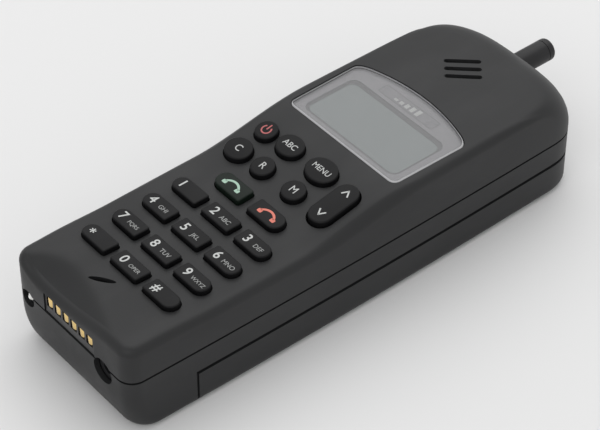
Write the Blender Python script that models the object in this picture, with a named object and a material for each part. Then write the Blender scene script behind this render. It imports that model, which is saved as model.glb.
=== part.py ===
"""Early mobile brick phone with its covers, keys, display, sliding aerial and swing-off battery pack.

Sizes are written in millimetres and UNIT turns them into metres when a mesh is made.
X runs to the right across the keypad, Y runs up the phone to the aerial, and Z points out of the
keypad. The phone lies on the flat back of its battery pack, which is at Z = 0.
"""
import math

import bmesh
import bpy

UNIT = 0.001

# Overall sizes
BODY_WIDTH = 60.0
BODY_LENGTH = 184.0
WALL = 1.8              # cover walls
GAP = 0.3               # air between pieces that nearly touch
SIDE_BOW = 1.1          # how far each side curves in at the two ends
EDGE_RADIUS = 3.0       # long edges of the front
BACK_RADIUS = 3.0       # edges of the back
CHIN_OVERHANG = 0.9     # the keypad end reaches this much further than the head
CHIN_CORNER = 5.5       # corner radius at the keypad end, seen from the front
CHIN_LEAN = 5.6         # how far the keypad end has curved inwards when it reaches the back
CHIN_LEAN_Z = 16.0      # height at which that curve starts
LEAN_CORNER = 0.8       # growth of the chin's corner radius for each millimetre of lean
HEAD_ARCH = 18.0        # length of the arched head, seen from the front
HEAD_POWER = 3.05       # squareness of that arch
HEAD_ROLL = 14.0        # length over which the head rolls down to the parting line
HALF_WIDTH = BODY_WIDTH / 2
HALF_LENGTH = BODY_LENGTH / 2
CHIN_Y = -HALF_LENGTH - CHIN_OVERHANG

# Heights
PARTING_Z = 21.9        # joint between the front and rear covers
PACK_Z = 12.9           # joint between the rear cover and the battery pack
KEYPAD_Z = 34.4         # front face at the number keys
HEAD_Z = 39.7           # front face at the display
RISE_START, RISE_END = -28.0, 14.0
HEAD_DROP = 0.5         # the face falls a little from the display to the earpiece
CHIN_RISE = 0.8         # and climbs a little below the last row of keys

# Hollow that falls from the keys to the connector: (width, squareness) on each side of its apex
SCOOP_DEPTH = 4.6
SCOOP_APEX_X = -10.0
SCOOP_LEFT, SCOOP_RIGHT = (17.0, 3.0), (36.0, 1.4)
SCOOP_REACH = 12.5
SCOOP_FALL = 12.0

# Keys
KEY_PITCH_X, KEY_PITCH_Y = 15.91, 11.35
KEY_ROW_Y = -35.94      # row of 1, 2 and 3
KEY_WIDTH, KEY_DEPTH = 12.9, 6.2
KEY_PROUD = 1.8
KEY_BEVEL = 0.5
KEY_CLEARANCE = 0.3
KEY_FLANGE = 0.5
KEY_FLANGE_THICKNESS = 0.6
KEY_BLUNT = 0.8         # corner radius on the sides of a key that aren't round
KEY_TRAVEL = 0.8
CALL_X, CALL_Y, CALL_WIDTH, CALL_DEPTH = 8.6, -24.7, 13.4, 6.6
OVAL_KEYS = [           # name, x, y, width, depth
    ("key_clear", -19.9, -13.4, 10.0, 8.8), ("key_recall", -8.5, -12.9, 8.2, 7.8),
    ("key_memory", 6.2, -12.7, 8.4, 7.8), ("key_power", -19.4, -2.6, 7.8, 7.6),
    ("key_abc", -8.8, -1.7, 10.4, 8.6), ("key_menu", 6.2, -1.6, 12.0, 9.4)]
ROCKER_X, ROCKER_Y, ROCKER_AXIS_Z = 19.3, -7.7, 35.5
ROCKER_WIDTH, ROCKER_LENGTH = 8.5, 18.0
ROCKER_ROOM = 0.7       # extra height round the rocker for its tilt

# Display
LENS_HALF_WIDTH = 25.8
LENS_BOTTOM, LENS_TOP, LENS_ARCH = 11.1, 40.7, 5.0
LENS_THICKNESS = 1.0
LENS_PROUD = 0.15
LENS_LEDGE = 1.9
LENS_BEVEL = 0.5
LCD_THICKNESS = 2.6
HOLDER_SIDE, HOLDER_FOOT, HOLDER_HEAD = 2.0, 1.2, 6.0      # display holder beyond the panel
LCD_HALF_WIDTH, LCD_BOTTOM, LCD_TOP = 21.3, 14.0, 35.2
BADGE_WIDTH, BADGE_HEIGHT, BADGE_Y, BADGE_POCKET = 25.5, 4.6, 39.7, 0.5

# Earpiece and microphone, placed from the head's end and from the chin's end
EAR_X, EAR_Y = -2.8, HALF_LENGTH - 26.7
SLOT_WIDTH = 1.9
EAR_RUN, EAR_STEP = (3.5, 3.8), (3.0, -2.55)
MIC_X, MIC_Y = -1.3, CHIN_Y + 13.5
MIC_RUN = (2.9, 2.0)
MIC_AIR = 3.0           # the chin slopes steeply above the microphone

# Boards and what stands on them
BOARD_SIDE_GAP = 0.5    # between the main board and the lower screws' pillars
BOARD_THICKNESS = 1.0
CARD_LENGTH, CARD_HALF_WIDTH, CARD_THICKNESS = 85.6, 27.0, 0.8
CARD_Z = PACK_Z + GAP / 2 + WALL + GAP      # the card lies just above the rear cover's floor
CARD_ROOM = 0.65                            # between the card and the main board
MAIN_BOARD_Z = CARD_Z + CARD_THICKNESS + CARD_ROOM
MAIN_BOARD_START, MAIN_BOARD_END = CHIN_Y + 14.9, HALF_LENGTH - 16.0
SHIELD_SPAN, SHIELD_TOP, SHIELD_INSET = (-42.0, 62.0), 24.9, 2.0
KEY_BOARD_Z = 28.2
KEY_BOARD_MARGIN = 1.0  # key board and mat beyond the outermost keys
MAT_THICKNESS = 0.8
EAR_RADIUS, EAR_THICKNESS = 9.0, 5.0
MIC_RADIUS, MIC_THICKNESS = 3.0, 2.6

# Battery pack
STEP_Y = CHIN_Y + 24.4  # where the pack starts above the rear cover's chin
PACK_WALL = 1.2
LID_THICKNESS = 1.0
CELL_WIDTH, CELL_LENGTH, CELL_HEIGHT = 17.0, 48.0, 8.3
LATCH_WIDTH, LATCH_LENGTH = 14.0, 11.0
LATCH_Y = HALF_LENGTH - 14.5
LATCH_TRAVEL = 2.0
LATCH_LOW, LATCH_LIP = 0.3, 1.5         # height of the thumb pad's face, and the plate round it
LATCH_PLATE = 1.6                       # thickness of that plate
HOOK_X, HOOK_LOW, HOOK_REACH, HOOK_ROOM = 14.0, 1.4, 1.3, 0.5
HOOK_HALF_WIDTH, HOOK_HEIGHT, HOOK_SWING = 3.0, 1.5, 0.3    # extra height for its swing
TERMINAL_HALF_WIDTH, TERMINAL_START, TERMINAL_END = 9.0, 6.0, 9.0   # from the pack's start

# Aerial
AERIAL_X = -8.0
ROD_RADIUS = 1.1
ROD_LENGTH = 100.0
CAP_RADIUS = 3.95
CAP_CLEARANCE = 0.5     # the covers' opening is this much larger in radius than the cap
CAP_LENGTH = 17.8
BUSH_LENGTH, BUSH_HEAD = 8.0, 5.7
STOP_LENGTH, STOP_SIZE = 2.0, 1.15      # the rod's lower end is this much thicker, as a stop
SOCKET_IN_CAP = 2.0                     # how far the rod reaches into the cap

# Chin end
CHIN_RECESS = 0.4       # the connector's face lies this far behind the chin's surface
CONNECTOR_X, CONNECTOR_WIDTH, CONNECTOR_HEIGHT, CONNECTOR_DEPTH = -0.5, 24.6, 6.8, 9.0
CONTACT_COUNT, CONTACT_PITCH, CONTACT_WIDTH = 6, 4.0, 2.5
CONTACT_LOW, CONTACT_HIGH, CONTACT_DEPTH = 3.0, 6.6, 1.2
CHARGER_X, CHARGER_Z, CHARGER_RADIUS, CHARGER_BORE = -22.0, 20.3, 3.1, 2.2
AUX_X, AUX_Z, AUX_RADIUS, AUX_BORE = 16.0, 19.4, 4.4, 2.2
SOCKET_DEPTH, PIN_RADIUS = 8.0, 1.2

# Screws
SCREW_X, SCREW_YS = HALF_WIDTH - 5.0, (CHIN_Y + 15.9, HALF_LENGTH - 39.0)
SCREW_RADIUS, SCREW_HEAD_RADIUS, SCREW_HEAD = 0.9, 1.9, 1.2
SCREW_BITE = 5.0        # length of thread in the front cover
BOSS_RADIUS = 2.3
SEAT_RADIUS = 2.9       # pillars in the chin that hold the lower screws' heads

HINGE = (0.0, STEP_Y + GAP / 2, 0.4)        # the pack swings about its lower end's edge
SCREW_SEAT_Z = PACK_Z + WALL - 0.4          # where the lower screws' heads press
BOARD_HALF_WIDTH = SCREW_X - SEAT_RADIUS - BOARD_SIDE_GAP
COLUMNS = 10            # strips across the front face
BIG = 300.0             # longer than anything here, for cutters


# ---------------------------------------------------------------- outlines
def smooth(t):
    """Ease from 0 to 1."""
    t = min(max(t, 0.0), 1.0)
    return t * t * (3 - 2 * t)


def face_height(y):
    """Height of the front face along the middle of the phone, without the chin's hollow."""
    rise = (HEAD_Z - KEYPAD_Z) * smooth((y - RISE_START) / (RISE_END - RISE_START))
    drop = HEAD_DROP * smooth((y - LENS_TOP - LENS_ARCH) / 20)
    chin = CHIN_RISE * smooth((KEY_ROW_Y - 2 * KEY_PITCH_Y - y) / 20)
    return KEYPAD_Z + rise - drop + chin


def scoop_depth(x, y):
    """Depth of the hollow that falls to the connector."""
    run, power = SCOOP_LEFT if x < SCOOP_APEX_X else SCOOP_RIGHT
    reach = SCOOP_REACH * max(0.0, 1 - (abs(x - SCOOP_APEX_X) / run) ** power)
    return SCOOP_DEPTH * smooth((reach - (y - CHIN_Y)) / SCOOP_FALL)


def top_height(x, y):
    return face_height(y) - scoop_depth(x, y)


def side_x(y):
    return HALF_WIDTH - SIDE_BOW * (y / HALF_LENGTH) ** 2


def plan_half(inset, head_inset, chin_inset, sides=22, arc=5):
    """Right half of the phone's outline from the chin's corner to the middle of the head."""
    radius = CHIN_CORNER - inset + LEAN_CORNER * (chin_inset - inset)
    corner_y = CHIN_Y + chin_inset + radius
    corner_x = side_x(corner_y) - inset - radius
    points = []
    for i in range(arc):
        angle = math.pi / 2 * i / (arc - 1)
        points.append((corner_x + radius * math.sin(angle), corner_y - radius * math.cos(angle)))
    arch_y = HALF_LENGTH - head_inset - HEAD_ARCH
    for i in range(1, sides + 1):
        y = corner_y + (arch_y - corner_y) * (i / sides) ** 1.4
        points.append((side_x(y) - inset, y))
    half = points[-1][0]
    steps = 2 * arc
    for i in range(1, steps + 1):
        angle = math.pi / 2 * i / steps
        across = math.cos(angle) ** (2 / HEAD_POWER) if i < steps else 0.0
        points.append((half * across, arch_y + HEAD_ARCH * math.sin(angle) ** (2 / HEAD_POWER)))
    return points


def plan_outline(inset=0.0, head_inset=None, chin_inset=None, low=None, **detail):
    """Outline of the phone, anticlockwise from above, or only its part above low.

    The chin's straight end is cut into COLUMNS pieces, so that strips of the face can start there.
    """
    head_inset = inset if head_inset is None else head_inset
    chin_inset = inset if chin_inset is None else chin_inset
    half = plan_half(inset, head_inset, chin_inset, **detail)
    width, y = half[0]
    end = [(width * (2 * i / COLUMNS - 1), y) for i in range(1, COLUMNS)]
    if low is not None:
        end = []
        half = [(side_x(low) - inset, low)] + [p for p in half if p[1] > low + GAP]
    return end + half + [(-x, y) for x, y in reversed(half[:-1])]


def rounded(corners, steps=4):
    """Outline through (x, y, radius) corners, each rounded by an arc."""
    points = []
    count = len(corners)
    for i, (x, y, radius) in enumerate(corners):
        if radius <= 0:
            points.append((x, y))
            continue
        before, after = corners[i - 1], corners[(i + 1) % count]
        ax, ay = before[0] - x, before[1] - y
        bx, by = after[0] - x, after[1] - y
        la, lb = math.hypot(ax, ay), math.hypot(bx, by)
        ax, ay, bx, by = ax / la, ay / la, bx / lb, by / lb
        half = math.acos(max(-1.0, min(1.0, ax * bx + ay * by))) / 2
        mid_x, mid_y = ax + bx, ay + by
        scale = radius / math.sin(half) / math.hypot(mid_x, mid_y)
        cx, cy = x + mid_x * scale, y + mid_y * scale
        reach = radius / math.tan(half)
        start = math.atan2(y + ay * reach - cy, x + ax * reach - cx)
        turn = math.atan2(y + by * reach - cy, x + bx * reach - cx) - start
        turn = (turn + math.pi) % (2 * math.pi) - math.pi
        for k in range(steps + 1):
            angle = start + turn * k / steps
            points.append((cx + radius * math.cos(angle), cy + radius * math.sin(angle)))
    return points


def box_outline(x0, x1, y0, y1, left=0.0, right=0.0, steps=3):
    """Rectangle with its own corner radius at the left and at the right."""
    return rounded([(x0, y0, left), (x1, y0, right), (x1, y1, right), (x0, y1, left)], steps)


def ellipse(x, y, width, height, count=16):
    turns = [2 * math.pi * i / count for i in range(count)]
    return [(x + width / 2 * math.cos(a), y + height / 2 * math.sin(a)) for a in turns]


def circle(x, y, radius, count=20):
    return ellipse(x, y, 2 * radius, 2 * radius, count)


def grown(points, distance):
    """The outline moved outwards by a distance, or inwards if it is negative."""
    result = []
    for i, (x, y) in enumerate(points):
        (x0, y0), (x1, y1) = points[i - 1], points[(i + 1) % len(points)]
        ax, ay = x - x0, y - y0
        bx, by = x1 - x, y1 - y
        la, lb = math.hypot(ax, ay), math.hypot(bx, by)
        nx, ny = ay / la + by / lb, -ax / la - bx / lb
        scale = 2 * distance / (nx * nx + ny * ny)
        result.append((x + nx * scale, y + ny * scale))
    return result


# ---------------------------------------------------------------- meshes
MATERIALS = {
    "body_plastic": ((0.060, 0.062, 0.064), 0.55, 0.0),
    "key_rubber": ((0.030, 0.031, 0.034), 0.50, 0.0),
    "lens": ((0.30, 0.30, 0.31), 0.12, 0.0),
    "badge": ((0.26, 0.26, 0.27), 0.30, 0.0),
    "lcd": ((0.33, 0.37, 0.35), 0.20, 0.0),
    "frame_white": ((0.70, 0.70, 0.68), 0.45, 0.0),
    "board_green": ((0.04, 0.20, 0.09), 0.45, 0.0),
    "steel": ((0.62, 0.62, 0.63), 0.30, 1.0),
    "gold": ((0.85, 0.62, 0.25), 0.25, 1.0),
    "black_plastic": ((0.015, 0.015, 0.016), 0.45, 0.0),
    "mat_rubber": ((0.20, 0.20, 0.21), 0.70, 0.0),
    "card_plastic": ((0.75, 0.75, 0.76), 0.35, 0.0),
    "cell_wrap": ((0.08, 0.18, 0.42), 0.40, 0.0),
}


def material(name):
    """Principled material with the colour, roughness and metallic value listed above."""
    found = bpy.data.materials.get(name)
    if found:
        return found
    colour, roughness, metallic = MATERIALS[name]
    made = bpy.data.materials.new(name)
    made.use_nodes = True
    shader = made.node_tree.nodes["Principled BSDF"]
    shader.inputs["Base Color"].default_value = (*colour, 1.0)
    shader.inputs["Roughness"].default_value = roughness
    shader.inputs["Metallic"].default_value = metallic
    return made


def add_object(name, bm, slot, origin=(0, 0, 0)):
    """Make an object of a millimetre mesh, with its origin at a point in millimetres."""
    bmesh.ops.translate(bm, verts=bm.verts, vec=[-c for c in origin])
    bmesh.ops.scale(bm, verts=bm.verts, vec=(UNIT, UNIT, UNIT))
    bmesh.ops.recalc_face_normals(bm, faces=bm.faces)
    mesh = bpy.data.meshes.new(name)
    bm.to_mesh(mesh)
    bm.free()
    mesh.shade_smooth()
    mesh.set_sharp_from_angle(angle=math.radians(35))
    made = bpy.data.objects.new(name, mesh)
    made.location = [c * UNIT for c in origin]
    made.data.materials.append(material(slot))
    bpy.context.collection.objects.link(made)
    return made


def loft(rings, into=None):
    """Closed solid through rings that all have the same number of points, listed upwards."""
    bm = into or bmesh.new()
    rows = [[bm.verts.new(p) for p in ring] for ring in rings]
    count = len(rows[0])
    for low, high in zip(rows, rows[1:]):
        for i in range(count):
            k = (i + 1) % count
            bm.faces.new((low[i], low[k], high[k], high[i]))
    bm.faces.new(list(reversed(rows[0])))
    bm.faces.new(rows[-1])
    return bm


def ring(points, z):
    """An outline at a height, which may be a number or a function of x and y."""
    return [(x, y, z(x, y) if callable(z) else z) for x, y in points]


def prism(points, z0, z1, into=None):
    return loft([ring(points, z0), ring(points, z1)], into)


def block(x0, x1, y0, y1, z0, z1, into=None):
    return prism([(x0, y0), (x1, y0), (x1, y1), (x0, y1)], z0, z1, into)


def rod(x, z, sections, count=16, into=None):
    """Turned solid along Y: sections are (y, radius) from the chin towards the head."""
    turns = [2 * math.pi * i / count for i in range(count)]
    rings = [[(x + r * math.sin(a), y, z + r * math.cos(a)) for a in turns] for y, r in sections]
    return loft(rings, into)


def cut(target, cutter, how="DIFFERENCE"):
    """Apply a Boolean with a millimetre mesh or an object as its cutter, which it uses up."""
    if not isinstance(cutter, bpy.types.Object):
        cutter = add_object("cutter", cutter, "steel")
    step = target.modifiers.new("cut", "BOOLEAN")
    step.operation = how
    step.object = cutter
    evaluated = target.evaluated_get(bpy.context.evaluated_depsgraph_get())
    old = target.data
    target.data = bpy.data.meshes.new_from_object(evaluated)
    target.modifiers.remove(step)
    target.data.name = target.name
    bpy.data.meshes.remove(old)
    bpy.data.objects.remove(cutter)
    return target


def move_origin(target, origin):
    """Put the origin of a finished object at a point in millimetres and leave its mesh in place."""
    place = [c * UNIT for c in origin]
    for vertex in target.data.vertices:
        vertex.co = [c - p for c, p in zip(vertex.co, place)]
    target.location = place


def finish(target):
    """Merge what the cuts left in one place and shade the round parts smooth."""
    bm = bmesh.new()
    bm.from_mesh(target.data)
    bmesh.ops.remove_doubles(bm, verts=bm.verts, dist=0.002 * UNIT)
    bmesh.ops.dissolve_degenerate(bm, edges=bm.edges, dist=0.002 * UNIT)
    bm.to_mesh(target.data)
    bm.free()
    target.data.shade_smooth()
    target.data.set_sharp_from_angle(angle=math.radians(35))
    return target


# ---------------------------------------------------------------- covers
def front_form(wall, bottom, sides=22, arc=5, rounds=4):
    """Solid of the phone above the parting line, moved inwards all over by a wall."""
    outer = plan_outline(wall, sides=sides, arc=arc)
    inner = plan_outline(EDGE_RADIUS, HEAD_ROLL, sides=sides, arc=arc)
    lip = 0.6
    rings = [ring(outer, bottom)]
    for k in range(rounds + 1):
        angle = math.pi / 2 * k / rounds
        points = []
        for (ox, oy), (ix, iy) in zip(outer, inner):
            top = top_height(ix, iy) - wall
            tall = top - PARTING_Z - lip
            roll = smooth((oy - (HALF_LENGTH - 1.7 * HEAD_ROLL)) / (1.6 * HEAD_ROLL))
            edge = EDGE_RADIUS - wall * 0.55
            depth = edge + (tall - edge) * roll
            blend = 1 - math.cos(angle)
            points.append((ox + (ix - ox) * blend, oy + (iy - oy) * blend,
                           top - depth * (1 - math.sin(angle))))
        rings.append(points)
    bm = bmesh.new()
    rows = [[bm.verts.new(p) for p in r] for r in rings]
    count = len(rows[0])
    for low, high in zip(rows, rows[1:]):
        for i in range(count):
            k = (i + 1) % count
            bm.faces.new((low[i], low[k], high[k], high[i]))
    bm.faces.new(list(reversed(rows[0])))
    cover_top(bm, rows[-1], inner, wall)
    return bm


def cover_top(bm, edge, outline, wall):
    """Fill the top inside its edge with strips across the phone that follow the face."""
    count = len(outline)
    first = COLUMNS - 1
    half = (count - first - 1) // 2
    apex = first + half
    previous = [edge[count - 1]] + edge[:first] + [edge[first]]
    for i in range(1, half):
        right = first + i
        left = count - 1 - i
        width, y = outline[right]
        row = [edge[left]]
        for k in range(1, COLUMNS):
            x = width * (2 * k / COLUMNS - 1)
            row.append(bm.verts.new((x, y, top_height(x, y) - wall)))
        row.append(edge[right])
        for k in range(COLUMNS):
            bm.faces.new((previous[k], previous[k + 1], row[k + 1], row[k]))
        previous = row
    for k in range(COLUMNS):
        bm.faces.new((previous[k], previous[k + 1], edge[apex]))


def curved_inset(z, reach, height):
    """How far a quarter ellipse that ends upright at a height stands inwards at z."""
    drop = max(0.0, 1 - z / height)
    return reach * (1 - math.sqrt(max(0.0, 1 - drop ** 2)))


def lower_form(top, wall=0.0):
    """Solid of the phone below a height, with its back edges rounded and its chin leaning in."""
    heights = [BACK_RADIUS * (1 - math.cos(math.pi / 2 * k / 3)) for k in range(4)]
    heights += [CHIN_LEAN_Z * share for share in (0.4, 0.65, 1.0)]
    heights = [z for z in heights if wall < z < top]
    rings = []
    for z in [wall, *heights, top]:
        side = wall + curved_inset(z, BACK_RADIUS, BACK_RADIUS)
        chin = wall + curved_inset(z, CHIN_LEAN, CHIN_LEAN_Z)
        rings.append(ring(plan_outline(side, chin_inset=chin), z))
    return loft(rings)


# ---------------------------------------------------------------- keys
def key_outline(x, y, width, depth, side):
    """Straight key whose left (-1) or right (1) side is round."""
    full = depth / 2 - 0.1
    return box_outline(x - width / 2, x + width / 2, y - depth / 2, y + depth / 2,
                       full if side < 0 else KEY_BLUNT, full if side > 0 else KEY_BLUNT)


def number_keys():
    """(name, outline) of the twelve number keys: ends round at the sides, square in the middle."""
    names = ["1", "2", "3", "4", "5", "6", "7", "8", "9", "star", "0", "hash"]
    for index, label in enumerate(names):
        column, row = index % 3 - 1, index // 3
        x, y = column * KEY_PITCH_X, KEY_ROW_Y - row * KEY_PITCH_Y
        yield "key_" + label, key_outline(x, y, KEY_WIDTH, KEY_DEPTH, column)


def call_keys():
    """(name, outline) of the send and end keys above the number keys."""
    for name, side in (("key_send", -1), ("key_end", 1)):
        yield name, key_outline(side * CALL_X, CALL_Y, CALL_WIDTH, CALL_DEPTH, side)


def oval_keys():
    """(name, outline) of the six oval keys on the rising face."""
    for name, x, y, width, depth in OVAL_KEYS:
        yield name, ellipse(x, y, width, depth)


def rocker_outline():
    x, y = ROCKER_X, ROCKER_Y
    w, d = ROCKER_WIDTH / 2, ROCKER_LENGTH / 2
    return box_outline(x - w, x + w, y - d, y + d, w - 0.1, w - 0.1)


def all_keys():
    return [*number_keys(), *call_keys(), *oval_keys()]


def make_key(name, outline, room=0.0, pivot_z=None):
    """One key: a flange under the cover and a stem whose top follows the face.

    Its origin is at its foot, or at the height of the line that it tilts about.
    """
    flange = grown(outline, KEY_FLANGE)
    ys = [y for _, y in flange]
    ceiling = min(face_height(min(ys)), face_height(max(ys))) - WALL - GAP - room
    floor = KEY_BOARD_Z + BOARD_THICKNESS + GAP + MAT_THICKNESS + KEY_TRAVEL + GAP + room
    centre = (sum(x for x, _ in outline) / len(outline), sum(ys) / len(ys), pivot_z or floor)
    shelf = max(ceiling, floor + KEY_FLANGE_THICKNESS)
    rings = [
        ring(flange, floor),
        ring(flange, shelf),
        ring(outline, shelf),
        ring(outline, lambda x, y: face_height(y) + KEY_PROUD - KEY_BEVEL),
        ring(grown(outline, -KEY_BEVEL), lambda x, y: face_height(y) + KEY_PROUD),
    ]
    return add_object(name, loft(rings), "key_rubber", centre)


# ---------------------------------------------------------------- display
def lens_outline():
    """Display window: straight sides and an arched top."""
    w = LENS_HALF_WIDTH
    corners = [(-w + 0.6, LENS_BOTTOM, 2.6), (w - 0.6, LENS_BOTTOM, 2.6), (w, LENS_TOP, 2.0)]
    steps = 10
    for i in range(1, steps):
        x = w * (1 - 2 * i / steps)
        corners.append((x, LENS_TOP + LENS_ARCH * (1 - (x / w) ** 2), 0))
    corners.append((-w, LENS_TOP, 2.0))
    return rounded(corners, 3)


def make_display():
    lens_top = HEAD_Z + LENS_PROUD
    lens_low = lens_top - LENS_THICKNESS
    outline = lens_outline()
    rings = [ring(outline, lens_low), ring(outline, lens_top - LENS_BEVEL),
             ring(grown(outline, -LENS_BEVEL), lens_top)]
    window = add_object("display_window", loft(rings), "lens")
    # The badge sits in a shallow pocket in the window's top.
    half, rise = BADGE_WIDTH / 2, BADGE_HEIGHT / 2
    pocket = box_outline(-half, half, BADGE_Y - rise, BADGE_Y + rise, 0.8, 0.8)
    cut(window, prism(pocket, lens_top - BADGE_POCKET, lens_top + BIG))
    finish(window)
    badge_low = lens_top - BADGE_POCKET + 0.02
    add_object("badge_plate", prism(grown(pocket, -0.1), badge_low, lens_top - 0.05), "badge")

    panel_top = lens_low - 2 * GAP
    panel = box_outline(-LCD_HALF_WIDTH, LCD_HALF_WIDTH, LCD_BOTTOM, LCD_TOP, 1.0, 1.0)
    panel_low = panel_top - LCD_THICKNESS
    add_object("lcd_panel", prism(panel, panel_low, panel_top), "lcd")
    holder_top = HEAD_Z - WALL - GAP
    side = LCD_HALF_WIDTH + HOLDER_SIDE
    holder = add_object("lcd_holder", block(
        -side, side, LCD_BOTTOM - HOLDER_FOOT, LCD_TOP + HOLDER_HEAD,
        KEY_BOARD_Z + BOARD_THICKNESS + GAP, holder_top), "frame_white")
    cut(holder, prism(grown(panel, GAP), panel_low - GAP, BIG))
    finish(holder)


# ---------------------------------------------------------------- front cover
def slot_outline(x0, y0, x1, y1, width):
    """Straight slot with round ends between two points."""
    length = math.hypot(x1 - x0, y1 - y0)
    ux, uy = (x1 - x0) / length, (y1 - y0) / length
    r = width / 2
    square = box_outline(-r, length + r, -r, r, r - 0.02, r - 0.02)
    return [(x0 + a * ux - b * uy, y0 + a * uy + b * ux) for a, b in square]


def earpiece_slots():
    run_x, run_y = EAR_RUN
    for side in (-1, 0, 1):
        x, y = EAR_X + side * EAR_STEP[0], EAR_Y + side * EAR_STEP[1]
        yield slot_outline(x - run_x, y - run_y, x + run_x, y + run_y, SLOT_WIDTH)


def chin_sockets():
    """Round openings in the chin for the charger and for the auxiliary aerial."""
    start, end = CHIN_Y - 5, CHIN_Y + SOCKET_DEPTH + 2
    bm = rod(AUX_X, AUX_Z, [(start, AUX_RADIUS), (end, AUX_RADIUS)], 20)
    return rod(CHARGER_X, CHARGER_Z, [(start, CHARGER_RADIUS), (end, CHARGER_RADIUS)], 18, bm)


def aerial_hole():
    radius = CAP_RADIUS + CAP_CLEARANCE
    return rod(AERIAL_X, PARTING_Z, [(HALF_LENGTH - 6, radius), (HALF_LENGTH + 10, radius)], 20)


def make_front_cover():
    rim = PARTING_Z + GAP / 2
    cover = add_object("front_cover", front_form(0.0, rim), "body_plastic")
    cut(cover, front_form(WALL, PARTING_Z - 5, sides=14, arc=4, rounds=3))
    bosses = bmesh.new()
    for y in SCREW_YS:
        for x in (-SCREW_X, SCREW_X):
            prism(circle(x, y, BOSS_RADIUS, 12), rim, face_height(y) - WALL + 0.5, bosses)
    cut(cover, bosses, "UNION")
    holes = bmesh.new()
    for _, outline in all_keys():
        prism(grown(outline, KEY_CLEARANCE), PARTING_Z + 4, BIG, holes)
    prism(grown(rocker_outline(), 2 * KEY_CLEARANCE), PARTING_Z + 4, BIG, holes)
    for outline in earpiece_slots():
        prism(outline, PARTING_Z + 4, BIG, holes)
    run_x, run_y = MIC_RUN
    slot = slot_outline(MIC_X - run_x, MIC_Y - run_y, MIC_X + run_x, MIC_Y + run_y, SLOT_WIDTH)
    prism(slot, PARTING_Z + 4, BIG, holes)
    prism(grown(lens_outline(), GAP), HEAD_Z + LENS_PROUD - LENS_THICKNESS - GAP, BIG, holes)
    for y in SCREW_YS:
        for x in (-SCREW_X, SCREW_X):
            prism(circle(x, y, SCREW_RADIUS + GAP, 10), PARTING_Z - 5,
                  PARTING_Z + SCREW_BITE + 1, holes)
    cut(cover, holes)
    cut(cover, prism(grown(lens_outline(), -LENS_LEDGE), PARTING_Z + 4, BIG))
    half = CONNECTOR_WIDTH / 2 + GAP
    cut(cover, block(CONNECTOR_X - half, CONNECTOR_X + half, CHIN_Y - 5, CHIN_Y + 8,
                     PARTING_Z - 5, rim + CONNECTOR_HEIGHT + GAP))
    cut(cover, chin_sockets())
    cut(cover, aerial_hole())
    return finish(cover)


# ---------------------------------------------------------------- rear cover
def make_rear_cover():
    rim = PARTING_Z - GAP / 2
    roof = PACK_Z + GAP / 2
    cover = add_object("rear_cover", lower_form(rim), "body_plastic")
    cut(cover, block(-BIG, BIG, STEP_Y, BIG, -BIG, roof))
    core = add_object("core", lower_form(BIG, WALL), "body_plastic")
    cut(core, block(-BIG, BIG, STEP_Y - WALL, BIG, -BIG, roof + WALL))
    cut(cover, core)
    bosses = bmesh.new()
    for x in (-SCREW_X, SCREW_X):
        prism(circle(x, SCREW_YS[0], SEAT_RADIUS, 14), WALL / 2, rim - GAP, bosses)
    cut(cover, bosses, "UNION")
    holes = bmesh.new()
    for x in (-SCREW_X, SCREW_X):
        low, high = SCREW_YS
        prism(circle(x, low, SCREW_HEAD_RADIUS + GAP, 14), -BIG, SCREW_SEAT_Z, holes)
        prism(circle(x, high, SCREW_RADIUS + GAP, 10), -BIG, BIG, holes)
    cut(cover, holes)
    shanks = bmesh.new()
    for x in (-SCREW_X, SCREW_X):
        prism(circle(x, SCREW_YS[0], SCREW_RADIUS + GAP, 10), -BIG, BIG, shanks)
    cut(cover, shanks)
    cut(cover, chin_sockets())
    cut(cover, aerial_hole())
    cut(cover, hook_boxes(HOOK_ROOM))
    cut(cover, block(*terminal_box(GAP)))
    return finish(cover)


def hook_boxes(room=0.0):
    """Two hooks on the pack's lower end or, with some room, the pockets that they sit in."""
    bm = bmesh.new()
    root = STEP_Y + (room if room else 2 * GAP)
    for x in (-HOOK_X, HOOK_X):
        half = HOOK_HALF_WIDTH + room
        top = HOOK_LOW + HOOK_HEIGHT + (room + HOOK_SWING if room else 0)
        block(x - half, x + half, STEP_Y - HOOK_REACH - room, root, HOOK_LOW - room, top, bm)
    return bm


def terminal_box(room=0.0):
    half = TERMINAL_HALF_WIDTH + room
    return (-half, half, STEP_Y + TERMINAL_START - room, STEP_Y + TERMINAL_END + room,
            PACK_Z + GAP / 2 - room, MAIN_BOARD_Z - GAP + room)


# ---------------------------------------------------------------- battery pack
def latch_slot():
    """Opening in the pack's back that the latch's thumb pad slides in."""
    half = LATCH_WIDTH / 2 + GAP
    y0 = LATCH_Y - LATCH_LENGTH / 2 - LATCH_TRAVEL - GAP
    y1 = LATCH_Y + LATCH_LENGTH / 2 + GAP
    return box_outline(-half, half, y0, y1, 1.5, 1.5)


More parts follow.
